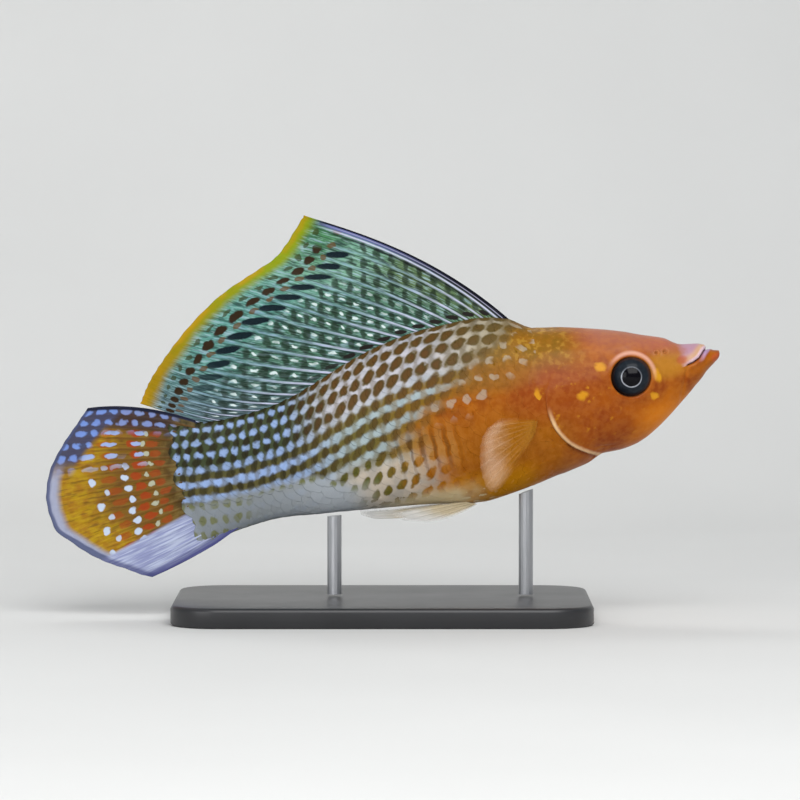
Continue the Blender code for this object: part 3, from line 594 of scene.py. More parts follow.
def make_fin(name, surface, rows, cols, rays, membrane, rise, stands_for,
             first=0.0, last=1.0, split_at=0.42, root=None):
    """The surface pushed apart to y + half and y - half. half is the membrane's, thinner
    near the edge, plus the rays' rise, lower further out, plus the root's own."""
    u = np.linspace(0, 1, rows)[:, None] + np.zeros((1, cols))
    v = np.linspace(0, 1, cols)[None, :] + np.zeros((rows, 1))
    s, h, y = surface(u, v)
    crest = branches(u, v, rays, first, last, split_at)
    half = membrane * (1 - 0.55 * ease(u, 0.75, 1.0)) / 2 + rise * crest * (1 - 0.72 * u)
    if root is not None:
        half = half + root(u, v)
    ds, dh = np.gradient(s, axis=0), np.gradient(h, axis=0)
    path = np.cumsum(np.hypot(ds, dh), axis=0) - np.hypot(ds, dh)[:1]
    left = path[-1:] - path
    layers = [place(s, h, y + half).reshape(-1, 3), place(s, h, y - half).reshape(-1, 3)]
    fin = np.stack([u, (v - first) / (last - first) * (rays - 1) / RAYS_IN_MAP], -1).reshape(-1, 2)
    reach = np.stack([path, left], -1).reshape(-1, 2) / REACH_IN_MAP
    bake = np.stack([0.005 + 0.485 * u, 0.01 + 0.98 * v], -1).reshape(-1, 2)
    maps = {
        "OFBake": np.vstack([bake, bake + [0.505, 0]]),
        "fin": np.vstack([fin, fin]), "reach": np.vstack([reach, reach]),
    }
    faces = plate_faces(rows, cols)[:, ::-1]
    return make_piece(name, np.vstack(layers), [faces], maps, None, stands_for)


# %% [markdown]
# ## The sail
#
# The back fin gives the fish its name. Its rays start on the back, lean far over and end
# on a scalloped rear edge. The first rays hug the front edge, so that edge bows upward. A
# slow ripple keeps the sail from looking like card.

# %% Dorsal fin
DORSAL_RAYS = 19
DORSAL_BASE = (24.5, 65.4)
DORSAL_LEAN = 1.15
DORSAL_EDGE = [
    (0.0, 46.5, 28.6), (0.05, 47.9, 27.2), (0.13, 49.7, 25.45), (0.20, 51.4, 24.2),
    (0.27, 53.8, 23.3), (0.42, 58.6, 21.5), (0.55, 63.0, 18.95), (0.70, 67.3, 15.6),
    (0.86, 70.35, 12.65), (1.0, 71.9, 10.5),
]
DORSAL_TIPS = [(0.0, 0.0), (0.056, 0.018), (0.139, 0.106), (0.361, 0.345), (0.583, 0.627),
               (0.75, 0.785), (1.0, 1.0)]
DORSAL_BOW = [(0.0, 1.85), (0.11, 1.4), (0.17, 1.05), (0.22, 0.75), (0.30, 0.2), (0.42, -0.3),
              (0.58, -0.35), (0.68, -0.85), (0.82, -1.0), (0.94, -0.4), (1.0, 0.0)]


def scallop(u, v, rays, depth, first=0.0, last=1.0):
    """How far the edge draws back between ray tips: depth |sin(pi c)| near the edge."""
    c = (v - first) / (last - first) * (rays - 1)
    return depth * np.abs(np.sin(np.pi * c)) ** 1.5 * ease(u, 0.86, 1.0)


def dorsal_surface(u, v):
    """P = B + u (T - B) + bow N: B on the back, T on the rear edge, N square to the ray."""
    start, end = DORSAL_BASE
    base_s = start + (end - start) * v**DORSAL_LEAN
    base_h = smooth(TOP, base_s) - 0.25
    tip_s, tip_h = along_line(DORSAL_EDGE, smooth(DORSAL_TIPS, v))
    run_s, run_h = tip_s - base_s, tip_h - base_h
    long = np.hypot(run_s, run_h)
    bow = 4 * smooth(DORSAL_BOW, v) * u * (1 - u) ** 1.15
    far = u - scallop(u, v, DORSAL_RAYS, 0.07) / long
    s = base_s + run_s * far - bow * run_h / long
    h = base_h + run_h * far + bow * run_s / long
    y = 0.75 * u**1.5 * np.sin(2.1 * np.pi * v + 0.6) * np.clip(1.15 - v, 0, 1)
    return s, h, y


dorsal = make_fin("dorsal_sail", dorsal_surface, 118, 253, DORSAL_RAYS, 0.22, 0.09,
                  ("dorsal_fin",),
                  root=lambda u, v: 0.28 * ease(-u, -0.10, 0.0) * ease(v, 0.0, 0.03))

# %% [markdown]
# ## The tail fin
#
# Rays fan out from the end of the stem to a rounded edge. Its outline is drawn by angle
# and reach from the fin's root. Near the root the fin is as thick as the stem and its
# surface runs on from the skin.

# %% Caudal fin
CAUDAL_RAYS = 18
CAUDAL_REACH = [
    (-49.0, 14.5), (-44.0, 14.9), (-37.0, 15.4), (-30.0, 16.3), (-22.0, 17.5), (-12.0, 19.1),
    (-7.0, 20.1), (2.5, 20.3), (12.6, 19.75), (25.0, 18.3), (35.0, 17.3), (42.8, 16.9),
]
CAUDAL_ROOT = (6.85, -8.3)
CAUDAL_BOW = [(0.0, 3.4), (0.25, 1.0), (0.5, 0.0), (1.0, -0.9)]


def caudal_surface(u, v):
    """Rays from the stem's end, bowed a little outward, to the rounded edge."""
    high, low = CAUDAL_ROOT
    base_h = high + (low - high) * v
    base_s = STEM_END - 0.9 + STEM_BULGE * (1 - (base_h / 9) ** 2)
    first, last = CAUDAL_REACH[-1][0], CAUDAL_REACH[0][0]
    angle = first + (last - first) * v
    reach = smooth(CAUDAL_REACH, angle)
    tip_s = STEM_END + reach * np.cos(np.radians(angle))
    tip_h = reach * np.sin(np.radians(angle))
    run_s, run_h = tip_s - base_s, tip_h - base_h
    far = u - scallop(u, v, CAUDAL_RAYS, 0.06) / np.hypot(run_s, run_h)
    tuck = ease(-u, -0.18, 0.0) * ease(v, 0.84, 1.0)
    s = base_s + run_s * far - 1.7 * tuck
    h = base_h + run_h * far + smooth(CAUDAL_BOW, v) * far * (1 - far) + 0.8 * tuck
    y = 0.8 * u**2 * np.sin(1.6 * np.pi * v + 0.4)
    return s, h, y


def caudal_root(u, v):
    """Half thickness that joins the fin to the stem: the stem's half width, fading out."""
    high, low = CAUDAL_ROOT
    h = 0.97 * (high + (low - high) * v)
    return side_of_body(np.full_like(v, STEM_END), h) * 0.62 * ease(-u, -0.30, 0.0) ** 1.4


caudal = make_fin("caudal_fan", caudal_surface, 92, 239, CAUDAL_RAYS, 0.22, 0.07,
                  ("caudal_fin",), split_at=0.34, root=caudal_root)

# %% [markdown]
# ## Paired fins
#
# The pectoral fins are thin clear fans behind the gill covers. The pelvic fins are slim
# and lie folded under the belly. Left and right come from one function that is told its
# side.

# %% Pectoral and pelvic fins
PECTORAL_RAYS = 11
PECTORAL_ROOT = [(24.1, -2.75), (25.0, -4.75)]
PECTORAL_EDGE = [
    (0.0, 28.75, -1.45), (0.12, 30.4, -2.2), (0.25, 31.5, -3.4), (0.4, 32.2, -5.3),
    (0.55, 32.5, -7.4), (0.7, 32.35, -9.2), (0.85, 31.6, -10.1), (1.0, 30.4, -9.75),
]
PECTORAL_FLARE = 0.36
PELVIC_RAYS = 5
PELVIC_ROOT = [(33.9, -11.95), (35.2, -11.75)]
PELVIC_LINES = [(0.0, 44.6, -10.00), (0.5, 43.4, -11.15), (1.0, 40.3, -12.25)]


def pectoral_surface(side):
    """The pectoral fin of one side, as a function of u and v."""
    def surface(u, v):
        """A fan from root to tip, y = flank + flare r - 0.012 r^2 at r from its root: it
        leans away from the flank and curls back at its tip."""
        (s0, h0), (s1, h1) = PECTORAL_ROOT
        base_s, base_h = s0 + (s1 - s0) * v, h0 + (h1 - h0) * v
        tip_s, tip_h = along_line(PECTORAL_EDGE, v)
        far = u - scallop(u, v, PECTORAL_RAYS, 0.10, 0.03, 0.97) / 8
        s = base_s + (tip_s - base_s) * far - 0.5 * v * u * (1 - u)
        h = base_h + (tip_h - base_h) * far + 0.9 * (1 - v) * u * (1 - u)
        away = np.hypot(s - base_s, h - base_h)
        y = side_of_body(base_s, base_h) - 0.1 + 0.5 * ease(u, 0, 0.12)
        y = y + PECTORAL_FLARE * away - 0.012 * away**2
        return s, h, side * (y + 0.06 * u * np.sin(2 * np.pi * v * 3))
    return surface


def pelvic_surface(side):
    """The pelvic fin of one side, as a function of u and v."""
    def surface(u, v):
        """Slim rays laid back along the belly, h = line + (0.7 - 2.2 v) u (1 - u): the lowest
        one bows down."""
        (s0, h0), (s1, h1) = PELVIC_ROOT
        base_s, base_h = s1 + (s0 - s1) * v, h1 + (h0 - h1) * v + 0.45 + 0.5 * (1 - v)
        tip_s, tip_h = along_line(PELVIC_LINES, v)
        s = base_s + (tip_s - base_s) * u
        h = base_h + (tip_h - base_h) * u + (0.7 - 2.2 * v) * u * (1 - u)
        y = 1.35 + 0.11 * (s - s0) + 0.35 * v * u
        return s, h, side * y
    return surface


def small_root(size):
    """Half thickness added at the root: size, fading out over a sixth of the ray."""
    return lambda u, v: size * ease(-u, -0.16, 0.0)


clear_fins = []
for side, word in ((-1, "right"), (1, "left")):
    clear_fins.append(make_fin(
        "pectoral_fan_" + word, pectoral_surface(side), 56, 121, PECTORAL_RAYS, 0.13, 0.04,
        ("pectoral_fin_" + word,), 0.03, 0.97, root=small_root(0.30)))
    clear_fins.append(make_fin(
        "pelvic_blade_" + word, pelvic_surface(side), 48, 49, PELVIC_RAYS, 0.16, 0.10,
        ("pelvic_fin_" + word,), split_at=0.55, root=small_root(0.22)))

# %% [markdown]
# ## The gonopodium
#
# In a male molly the front rays of the anal fin form a stiff rod. At rest it lies folded
# back along the belly, as here. It is a narrow blade whose top edge follows the belly.

# %% Gonopodium
GONO_SPAN = (38.2, 48.3)
GONO_HALF = [(0.0, 0.10), (0.15, 0.55), (0.3, 0.72), (0.8, 0.62), (1.0, 0.30)]


def gono_surface(u, v):
    """A blade of half height H(u) that hangs from the belly's line: h = BOTTOM - 2 v H."""
    start, end = GONO_SPAN
    s = start + (end - start) * u
    h = smooth(BOTTOM, s) + 0.12 - (2 * v + 0.15) * smooth(GONO_HALF, u)
    return s, h, 0 * s


clear_fins.append(make_fin(
    "gonopodium_blade", gono_surface, 70, 37, 4, 0.42, 0.10, ("gonopodium",),
    0.08, 0.92, split_at=0.9))

# %% [markdown]
# ## Eyes
#
# Each eye is a flattened ball that fills its socket. Poles point straight out, so that
# rings of iris colour follow the mesh, and a slight dome over the pupil stands in for the
# cornea.

# %% Eyes
EYE_DOME = 0.10


def make_eye(name, side, node):
    """A ball by polar angle a and turn b, bulged a little over the pupil."""
    rows, cols = 48, 64
    a = np.linspace(0.02, np.pi - 0.02, rows)[:, None]
    b = np.arange(cols)[None, :] * 2 * np.pi / cols
    ring = EYE_RADIUS * np.sin(a)
    s, h = EYE[0] + ring * np.cos(b), EYE[1] + ring * np.sin(b)
    y = EYE[2] + EYE_DEPTH * np.cos(a) * np.ones_like(b) + EYE_DOME * bell(ring, 1.5) * (a < 1.5)
    points = place(s, h, side * y).reshape(-1, 3)
    poles = side * np.array([EYE[2] + EYE_DEPTH + EYE_DOME, EYE[2] - EYE_DEPTH])
    points = np.vstack([points, place(EYE[0], EYE[1], poles)])
    faces = ball_faces(rows, cols)
    if side < 0:
        faces = [f[:, ::-1] for f in faces]
    radius = np.append(np.broadcast_to(ring, (rows, cols)).ravel(), [0, 0])
    return make_piece(name, points, faces, None, {"from_axis": radius}, (node,))


eyes = [make_eye("eyeball_right", -1, "eye_right"), make_eye("eyeball_left", 1, "eye_left")]

# %% [markdown]
# ## The stand
#
# The photo's fish swims free, so the model needs something to hold it: a low black base
# and two steel rods. The base is a rounded plate with a soft bevel, drawn as rings of one
# rounded rectangle that shrink and rise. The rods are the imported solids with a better
# finish.

# %% Stand
BASE_LENGTH, BASE_DEPTH, BASE_HEIGHT = 52.0, 36.0, 2.5
BASE_CORNER = 6.0
BASE_BEVEL = 0.55


def make_base():
    """Rings of a rounded rectangle: centre lines of the corners plus a radius that the
    bevel shortens as cos while the height grows as sin."""
    around = 96
    a = 2 * np.pi * (np.arange(around) + 0.5) / around
    turn = np.linspace(0, np.pi / 2, 7)
    inset = np.concatenate([[0.3, 0.0], BASE_BEVEL * (1 - np.cos(turn)), [4.0, 9.0]])
    z = np.concatenate([[0.0, 0.25], BASE_HEIGHT - BASE_BEVEL * (1 - np.sin(turn)), [BASE_HEIGHT] * 2])
    shrink = np.clip(inset - BASE_CORNER + 1.5, 0, None)
    radius = np.clip(BASE_CORNER - inset, 1.5, None)
    cx = np.sign(np.cos(a))[None, :] * (BASE_LENGTH / 2 - BASE_CORNER - shrink)[:, None]
    cy = np.sign(np.sin(a))[None, :] * (BASE_DEPTH / 2 - BASE_CORNER - shrink)[:, None]
    x = cx + radius[:, None] * np.cos(a)
    y = cy + radius[:, None] * np.sin(a)
    points = np.stack([x, y, np.broadcast_to(z[:, None], x.shape)], -1).reshape(-1, 3) * MM
    rows = len(z)
    quads = grid_quads(rows, around, wrap_cols=True)
    bottom = np.arange(around)[None, ::-1]
    top = (rows - 1) * around + np.arange(around)[None, :]
    return make_piece("stand_plate", points, [quads, bottom, top], None, None,
                      ("stand_base",))


base = make_base()

# %% [markdown]
# ## Sums on sockets
#
# Markings are formulas too. This small class wraps one socket of a node tree, and Python's
# own signs then add Math nodes, so a mask reads like a line of algebra. `node` adds any
# other node: settings first, then the sockets. `layers` lays colours over one another, each
# as a pair of mask and colour, like coats of thin paint.

# %% Shader maths
def rgb(r, g, b):
    """A colour as seen on a screen, 0 to 255, turned into the linear light that nodes use."""
    c = np.array([r, g, b]) / 255
    return (*np.where(c <= 0.04045, c / 12.92, ((c + 0.055) / 1.055) ** 2.4), 1.0)


class Value:
    """One socket of a material's tree. Sums with it add Math nodes."""

    def __init__(self, paint, socket):
        self.paint, self.socket = paint, socket

    def math(self, way, other=0.0):
        """A Math node that works on this number and another."""
        return self.paint.node("ShaderNodeMath", {"operation": way}, {0: self, 1: other})

    def __add__(self, other):
        return self.math("ADD", other)

    def __mul__(self, other):
        return self.math("MULTIPLY", other)

    def __sub__(self, other):
        return self.math("SUBTRACT", other)

    def __rsub__(self, other):
        return self * -1.0 + other

    def __truediv__(self, other):
        return self.math("DIVIDE", other)

    def __pow__(self, other):
        return self.math("POWER", other)

    __radd__, __rmul__ = __add__, __mul__

    def between(self, low, high):
        """A smooth step from 0 at low to 1 at high. low may be the larger."""
        if low > high:
            return 1.0 - self.between(high, low)
        return self.paint.node("ShaderNodeMapRange", {"interpolation_type": "SMOOTHSTEP"},
                               {"Value": self, "From Min": low, "From Max": high})

    def near(self, middle, width):
        """1 at the middle, 0 from width away, smooth between."""
        return (self - middle).size().between(width, 0.0)

    def either(self, other):
        """The larger of two masks."""
        return self.math("MAXIMUM", other)

    def size(self):
        """The number without its sign."""
        return self.math("ABSOLUTE")

    def part(self):
        """What is left after the whole number."""
        return self.math("FRACT")

    def whole(self):
        """The next whole number below."""
        return self.math("FLOOR")

    def wave(self):
        """The sine, with the number in radians."""
        return self.math("SINE")


class Paint:
    """One material and the helpers that fill it."""

    def __init__(self, name, **fixed):
        """fixed are plain numbers for the shader's own sockets."""
        self.material = bpy.data.materials.new(name)
        self.material.use_nodes = True
        self.tree = self.material.node_tree
        self.shader = self.tree.nodes["Principled BSDF"]
        for socket, number in fixed.items():
            self.shader.inputs[socket.replace("_", " ")].default_value = number

    def plug(self, socket, thing):
        """Links a Value to the socket, or sets the socket to a plain number or colour."""
        if isinstance(thing, Value):
            self.tree.links.new(thing.socket, socket)
        else:
            socket.default_value = thing

    def node(self, kind, settings=None, inputs=None, output=0):
        """Adds any node and returns one of its outputs."""
        made = self.tree.nodes.new(kind)
        for key, setting in (settings or {}).items():
            setattr(made, key, setting)
        for key, thing in (inputs or {}).items():
            self.plug(made.inputs[key], thing)
        return Value(self, made.outputs[output])

    def mix(self, mask, first, second):
        """first where the mask is 0, second where it is 1."""
        return self.node("ShaderNodeMix", {"data_type": "RGBA"}, {"Factor": mask, 6: first, 7: second}, 2)

    def layers(self, tone, *coats):
        """The tone with each pair of mask and colour laid over it in turn."""
        for mask, colour in coats:
            tone = self.mix(mask, tone, colour)
        return tone

    def split(self, vector):
        """The three numbers of a vector."""
        made = self.tree.nodes.new("ShaderNodeSeparateXYZ")
        self.plug(made.inputs[0], vector)
        return [Value(self, socket) for socket in made.outputs]

    def number(self, name):
        """One of the piece's own named attributes."""
        return self.node("ShaderNodeAttribute", {"attribute_name": name}, output=2)

    def pair(self, name):
        """The two numbers of one of the piece's own UV maps."""
        return self.split(self.node("ShaderNodeUVMap", {"uv_map": name}))[:2]

    def here(self):
        """Straight-fish millimetres s and h of the shaded point, place() read backwards."""
        x, _, z = self.split(self.node("ShaderNodeTexCoord", output=3))
        x, z = TIP_X - x * 1000, TIP_Z - z * 1000
        return x * COS + z * SIN, x * SIN - z * COS

    def noise(self, size, detail=2.0, stretch=(1, 1, 1)):
        """Soft noise from 0 to 1 whose lumps are about size millimetres."""
        spot = self.node("ShaderNodeTexCoord", output=3)
        turned = self.node("ShaderNodeMapping", None, {"Vector": spot, "Rotation": (0, -PITCH, 0),
                                                       "Scale": stretch})
        return self.node("ShaderNodeTexNoise", None,
                         {"Vector": turned, "Scale": 1000 / size, "Detail": detail})

    def grain(self, along, across, detail=2.0):
        """Noise over two numbers of a surface, one lump to each whole step of them."""
        spot = self.node("ShaderNodeCombineXYZ", None, {"X": along, "Y": across})
        return self.node("ShaderNodeTexNoise", None, {"Vector": spot, "Scale": 1.0, "Detail": detail})

    def bump(self, height, depth, strength=1.0):
        """Raises the surface by height times depth millimetres."""
        return self.node("ShaderNodeBump", None,
                         {"Height": height * (depth * MM), "Strength": strength, "Distance": 1.0})

    def finish(self, **links):
        """Fills the shader's varying sockets and hands the material over."""
        for socket, thing in links.items():
            self.plug(self.shader.inputs[socket.replace("_", " ")], thing)
        return self.material


# %% [markdown]
# ## Colours of the body
#
# Skin and scales share the front's colours, the silver and the border between them, all
# worked out from the place on the body. The head and chest are orange, browner on the
# cheek, pink on the crown and lavender at the lips. Behind a slanting border the skin is
# olive, hidden by scales that carry a pale blue net with brown meshes, and the lower flank
# and belly are silver blue.

# %% Body markings
ORANGE = rgb(164, 86, 4)
ORANGE_DEEP = rgb(134, 58, 4)
CHIN = rgb(226, 130, 4)
SHOULDER = rgb(126, 82, 10)
CROWN = rgb(166, 102, 80)
SNOUT = rgb(176, 104, 84)
NAPE = rgb(124, 94, 18)
CHEEK = rgb(132, 54, 4)
GOLD = rgb(226, 164, 30)
CHEST = rgb(146, 84, 4)
YELLOW = rgb(190, 126, 8)
BELLY_FRONT = rgb(212, 192, 150)
BELLY_REAR = rgb(166, 172, 178)
STEM_SILVER = rgb(134, 140, 144)
OLIVE = rgb(98, 84, 42)


def blend(mask, first, second):
    """The mix of two masks: first where the mask is 0, second where it is 1."""
    return first + (second - first) * mask


def oval(along, centre, half, across, wide, soft=(1.15, 0.55)):
    """1 inside an oval mark, 0 outside it, from the squared distance in units of its size.
    soft says where the edge ends and begins."""
    return (((along - centre) / half) ** 2 + (across / wide) ** 2).between(*soft)


def patch(s, h, s0, h0, long, high):
    """1 inside a very soft oval round (s0, h0)."""
    return oval(s, s0, long, h - h0, high, (1.3, 0.1))


def body_masks(s, h):
    """How far behind the orange front a place is, in mm, how bare and silvery it is, and how
    far above the silver it lies. The front's border stands upright on the lower flank and
    slants forward to the nape above it."""
    border = s + h.either(-0.5) * 1.65 - 39.0
    below = h + 5.5 - 2.3 * s.between(48.0, 53.5)
    bare = below.between(0.6, -0.7) * s.between(44.0, 50.0)
    bare = bare.either((h + 8.9).between(1.2, -0.9) * s.between(30.0, 33.5))
    return border, bare, below


def silver_colour(paint, s):
    """The belly's silver: warm in front, bluish in the middle, duller towards the tail."""
    silver = paint.mix(s.between(48.0, 62.0), BELLY_REAR, STEM_SILVER)
    return paint.mix(s.between(50.0, 40.0), silver, BELLY_FRONT)


def front_colour(paint, s, h):
    """The plain colours of head and chest."""
    mottle = paint.noise(2.4, 3.0)
    fine = paint.noise(0.7, 2.0)
    tone = paint.mix(mottle.between(0.35, 0.7), ORANGE, ORANGE_DEEP)
    cheek = patch(s, h, 16.4, -4.2, 6.5, 6.0)
    chest = s.between(17.5, 23.5) * (h + 5.0).near(0.0, 10.0)
    back = h - s * 0.30
    nape = (back + 1.7).between(-2.6, 0.9) * s.between(15.0, 20.0)
    crown = (back - 0.3).between(-1.9, 0.7) * s.between(19.0, 14.0) * s.between(3.0, 6.0)
    under = (h + 8.1).between(1.6, -1.2) * s.between(24.0, 28.0)
    return paint.layers(
        tone,
        ((h + 2.6).between(0.0, -3.5) * s.between(17.0, 8.0) * 0.8, CHIN),
        (patch(s, h, 6.8, 0.2, 3.0, 2.2) * 0.55, rgb(176, 128, 40)),
        (cheek * (0.25 + mottle * 0.75), CHEEK),
        (chest * 0.8, CHEST),
        (patch(s, h, 21.6, 0.6, 6.5, 4.6) * 0.75, rgb(136, 56, 4)),
        (patch(s, h, 28.4, 4.8, 7.6, 3.7) * (0.6 + mottle * 0.5), SHOULDER),
        (nape * (0.45 + mottle * 0.55), NAPE),
        (nape * fine.between(0.52, 0.66) * 0.4, rgb(184, 146, 50)),
        (crown * 0.85, paint.mix(s.between(12.0, 6.0), CROWN, SNOUT)),
        (fine.between(0.35, 0.65) * 0.12, rgb(210, 140, 60)),
        (under * 0.8, YELLOW))


# %% [markdown]
# ## Skin finish
#
# Smooth and slightly uneven, with only a faint gloss, because the fish is seen under water
# where wet skin hardly shines. The named distances made with the mesh place the lavender
# lips, the pale arc over the eye and the pale crescent behind the gill cover.

# %% Skin material
GOLD_SPOTS = [(9.3, -3.4, 0.60, 0.50), (8.4, -0.9, 0.50, 0.95), (15.1, 1.75, 0.75, 0.65),
              (18.0, -1.2, 0.80, 0.62), (23.4, -0.3, 0.42, 1.5)]


def lip_colours(paint, tone, s, h, mouth):
    """Upper lip: lavender above, peach, then a pale lower rim. The jaw has a violet rim, and a dark line of
    painted shade marks the gap of the slightly open mouth.
    """
    lip = paint.mix(mouth.between(0.25, 0.60), rgb(216, 186, 196), rgb(198, 156, 124))
    soft = s + (paint.noise(1.0, 2.0) - 0.5) * 1.2
    upper = mouth.between(-0.05, 0.05)
    lip = paint.mix(mouth.between(0.70, 1.45), lip, rgb(176, 136, 152))
    rim = mouth.between(-0.62, -0.30) * (1.0 - upper) * s.between(3.0, 1.6)
    # Painted shade: a dark line along the mouth's gap, where the slightly open mouth lies in shadow.
    line = mouth.size().between(0.13, 0.04) * s.between(4.7, 4.2)
    return paint.layers(
        tone,
        (upper * soft.between(5.5, 3.7), lip),
        (rim * 0.9, rgb(172, 144, 182)),
        (patch(s, h, 0.5, -0.7, 0.9, 0.7) * 0.6, rgb(186, 78, 50)),
        (patch(s, h, 4.9, 0.15, 0.8, 0.6) * 0.5, rgb(170, 58, 44)),
        (line * 0.8, rgb(74, 34, 34)))


def skin_paint():
    """Front colours, gold flecks and spots, lips, the eye's rim, the gill's crescent, painted shade
    behind the gill cover's free edge, and then the olive and silver ground that shows between the scales."""
    paint = Paint("painted_skin", Coat_Roughness=0.14, Subsurface_Weight=0.05,
                  Subsurface_Scale=0.001, Specular_IOR_Level=0.10)
    s, h = paint.here()
    border, bare, _ = body_masks(s, h)
    eye_mm, mouth_mm, gill_mm = (paint.number(n) for n in ("eye_mm", "mouth_mm", "gill_mm"))
    tone = front_colour(paint, s, h)
    flecks = paint.noise(0.9, 2.0).between(0.60, 0.80) * s.between(9.0, 13.0) * s.between(26.0, 21.0)
    wander = (paint.noise(0.8, 2.0) - 0.5) * 0.8
    tone = paint.mix(flecks * (h + 2.0).near(0.0, 8.0) * 0.5, tone, GOLD)
    for s0, h0, long, high in GOLD_SPOTS:
        tone = paint.mix(patch(s + wander, h + wander, s0, h0, long, high) * 0.62, tone, GOLD)
    tone = lip_colours(paint, tone, s, h, mouth_mm)
    arc = eye_mm.near(2.95, 0.42) * (h - s * 0.55 + 6.3).between(-0.4, 2.4)
    arc = arc * (0.55 + 0.5 * paint.noise(1.2, 2.0))
    lower_gill = (h + 2.0).between(0.8, -1.8) * s.between(15.8, 17.4)
    crescent = (gill_mm + wander * 0.25).near(0.26, 0.42) * lower_gill
    # Painted shade: a darker band just behind the gill cover's free edge, in the recess under its lip.
    painted_gill_shade = gill_mm.near(-0.25, 0.40) * s.between(15.5, 18.0)
    pores = paint.noise(0.35, 3.0)
    soft = paint.noise(1.6, 2.0)
    tone = paint.layers(
        tone,
        (arc, rgb(220, 166, 144)),
        (eye_mm.between(2.60, 2.42), rgb(34, 20, 18)),
        (crescent * (0.45 + 0.5 * paint.noise(0.9, 2.0)), rgb(232, 196, 150)),
        (painted_gill_shade * h.between(1.0, -2.0) * 0.4, rgb(112, 44, 10)),
        (border.between(-3.5, 3.0), OLIVE),
        (bare, silver_colour(paint, s)))
    return paint.finish(Base_Color=tone, Roughness=0.34 + 0.14 * soft, Coat_Weight=0.05 + 0.09 * soft,
                        Normal=paint.bump(pores, 0.035, 0.7))


skin.data.materials.append(skin_paint())

# %% [markdown]
# ## Scale finish
#
# A net drawn over the rows and steps of the scales gives each its dark spot. Near the back
# the net is pale between brown spots, lower down it runs together to pale blue lines with
# mustard lines between them, and on the belly side it is pinkish with orange spots. In
# front it breaks up into single pale dots and ends. `marks` holds steps and rows, so the
# pattern runs on from scale to scale. Fine arcs in the bump are the growth lines.

# %% Scale material
def net_masks(step, row):
    """Dark spots, the net round them, the lines between two rows, and the pale knots."""
    odd = (row * 0.5).part().between(0.49, 0.51)
    from_middle = row.part() - 0.5
    from_line = 0.5 - from_middle.size()
    beat = (step - from_middle * 0.35 + 0.5 * odd + 0.5).part() - 0.5
    knot_beat = (step + 0.25).part() - 0.5
    cell = (beat / 0.41) ** 2 + (from_middle / 0.39) ** 2
    knot = oval(knot_beat, 0.0, 0.36, from_line, 0.32, (1.5, 0.2))
    return cell, cell.between(0.7, 1.5), from_line.between(0.36, 0.12), knot


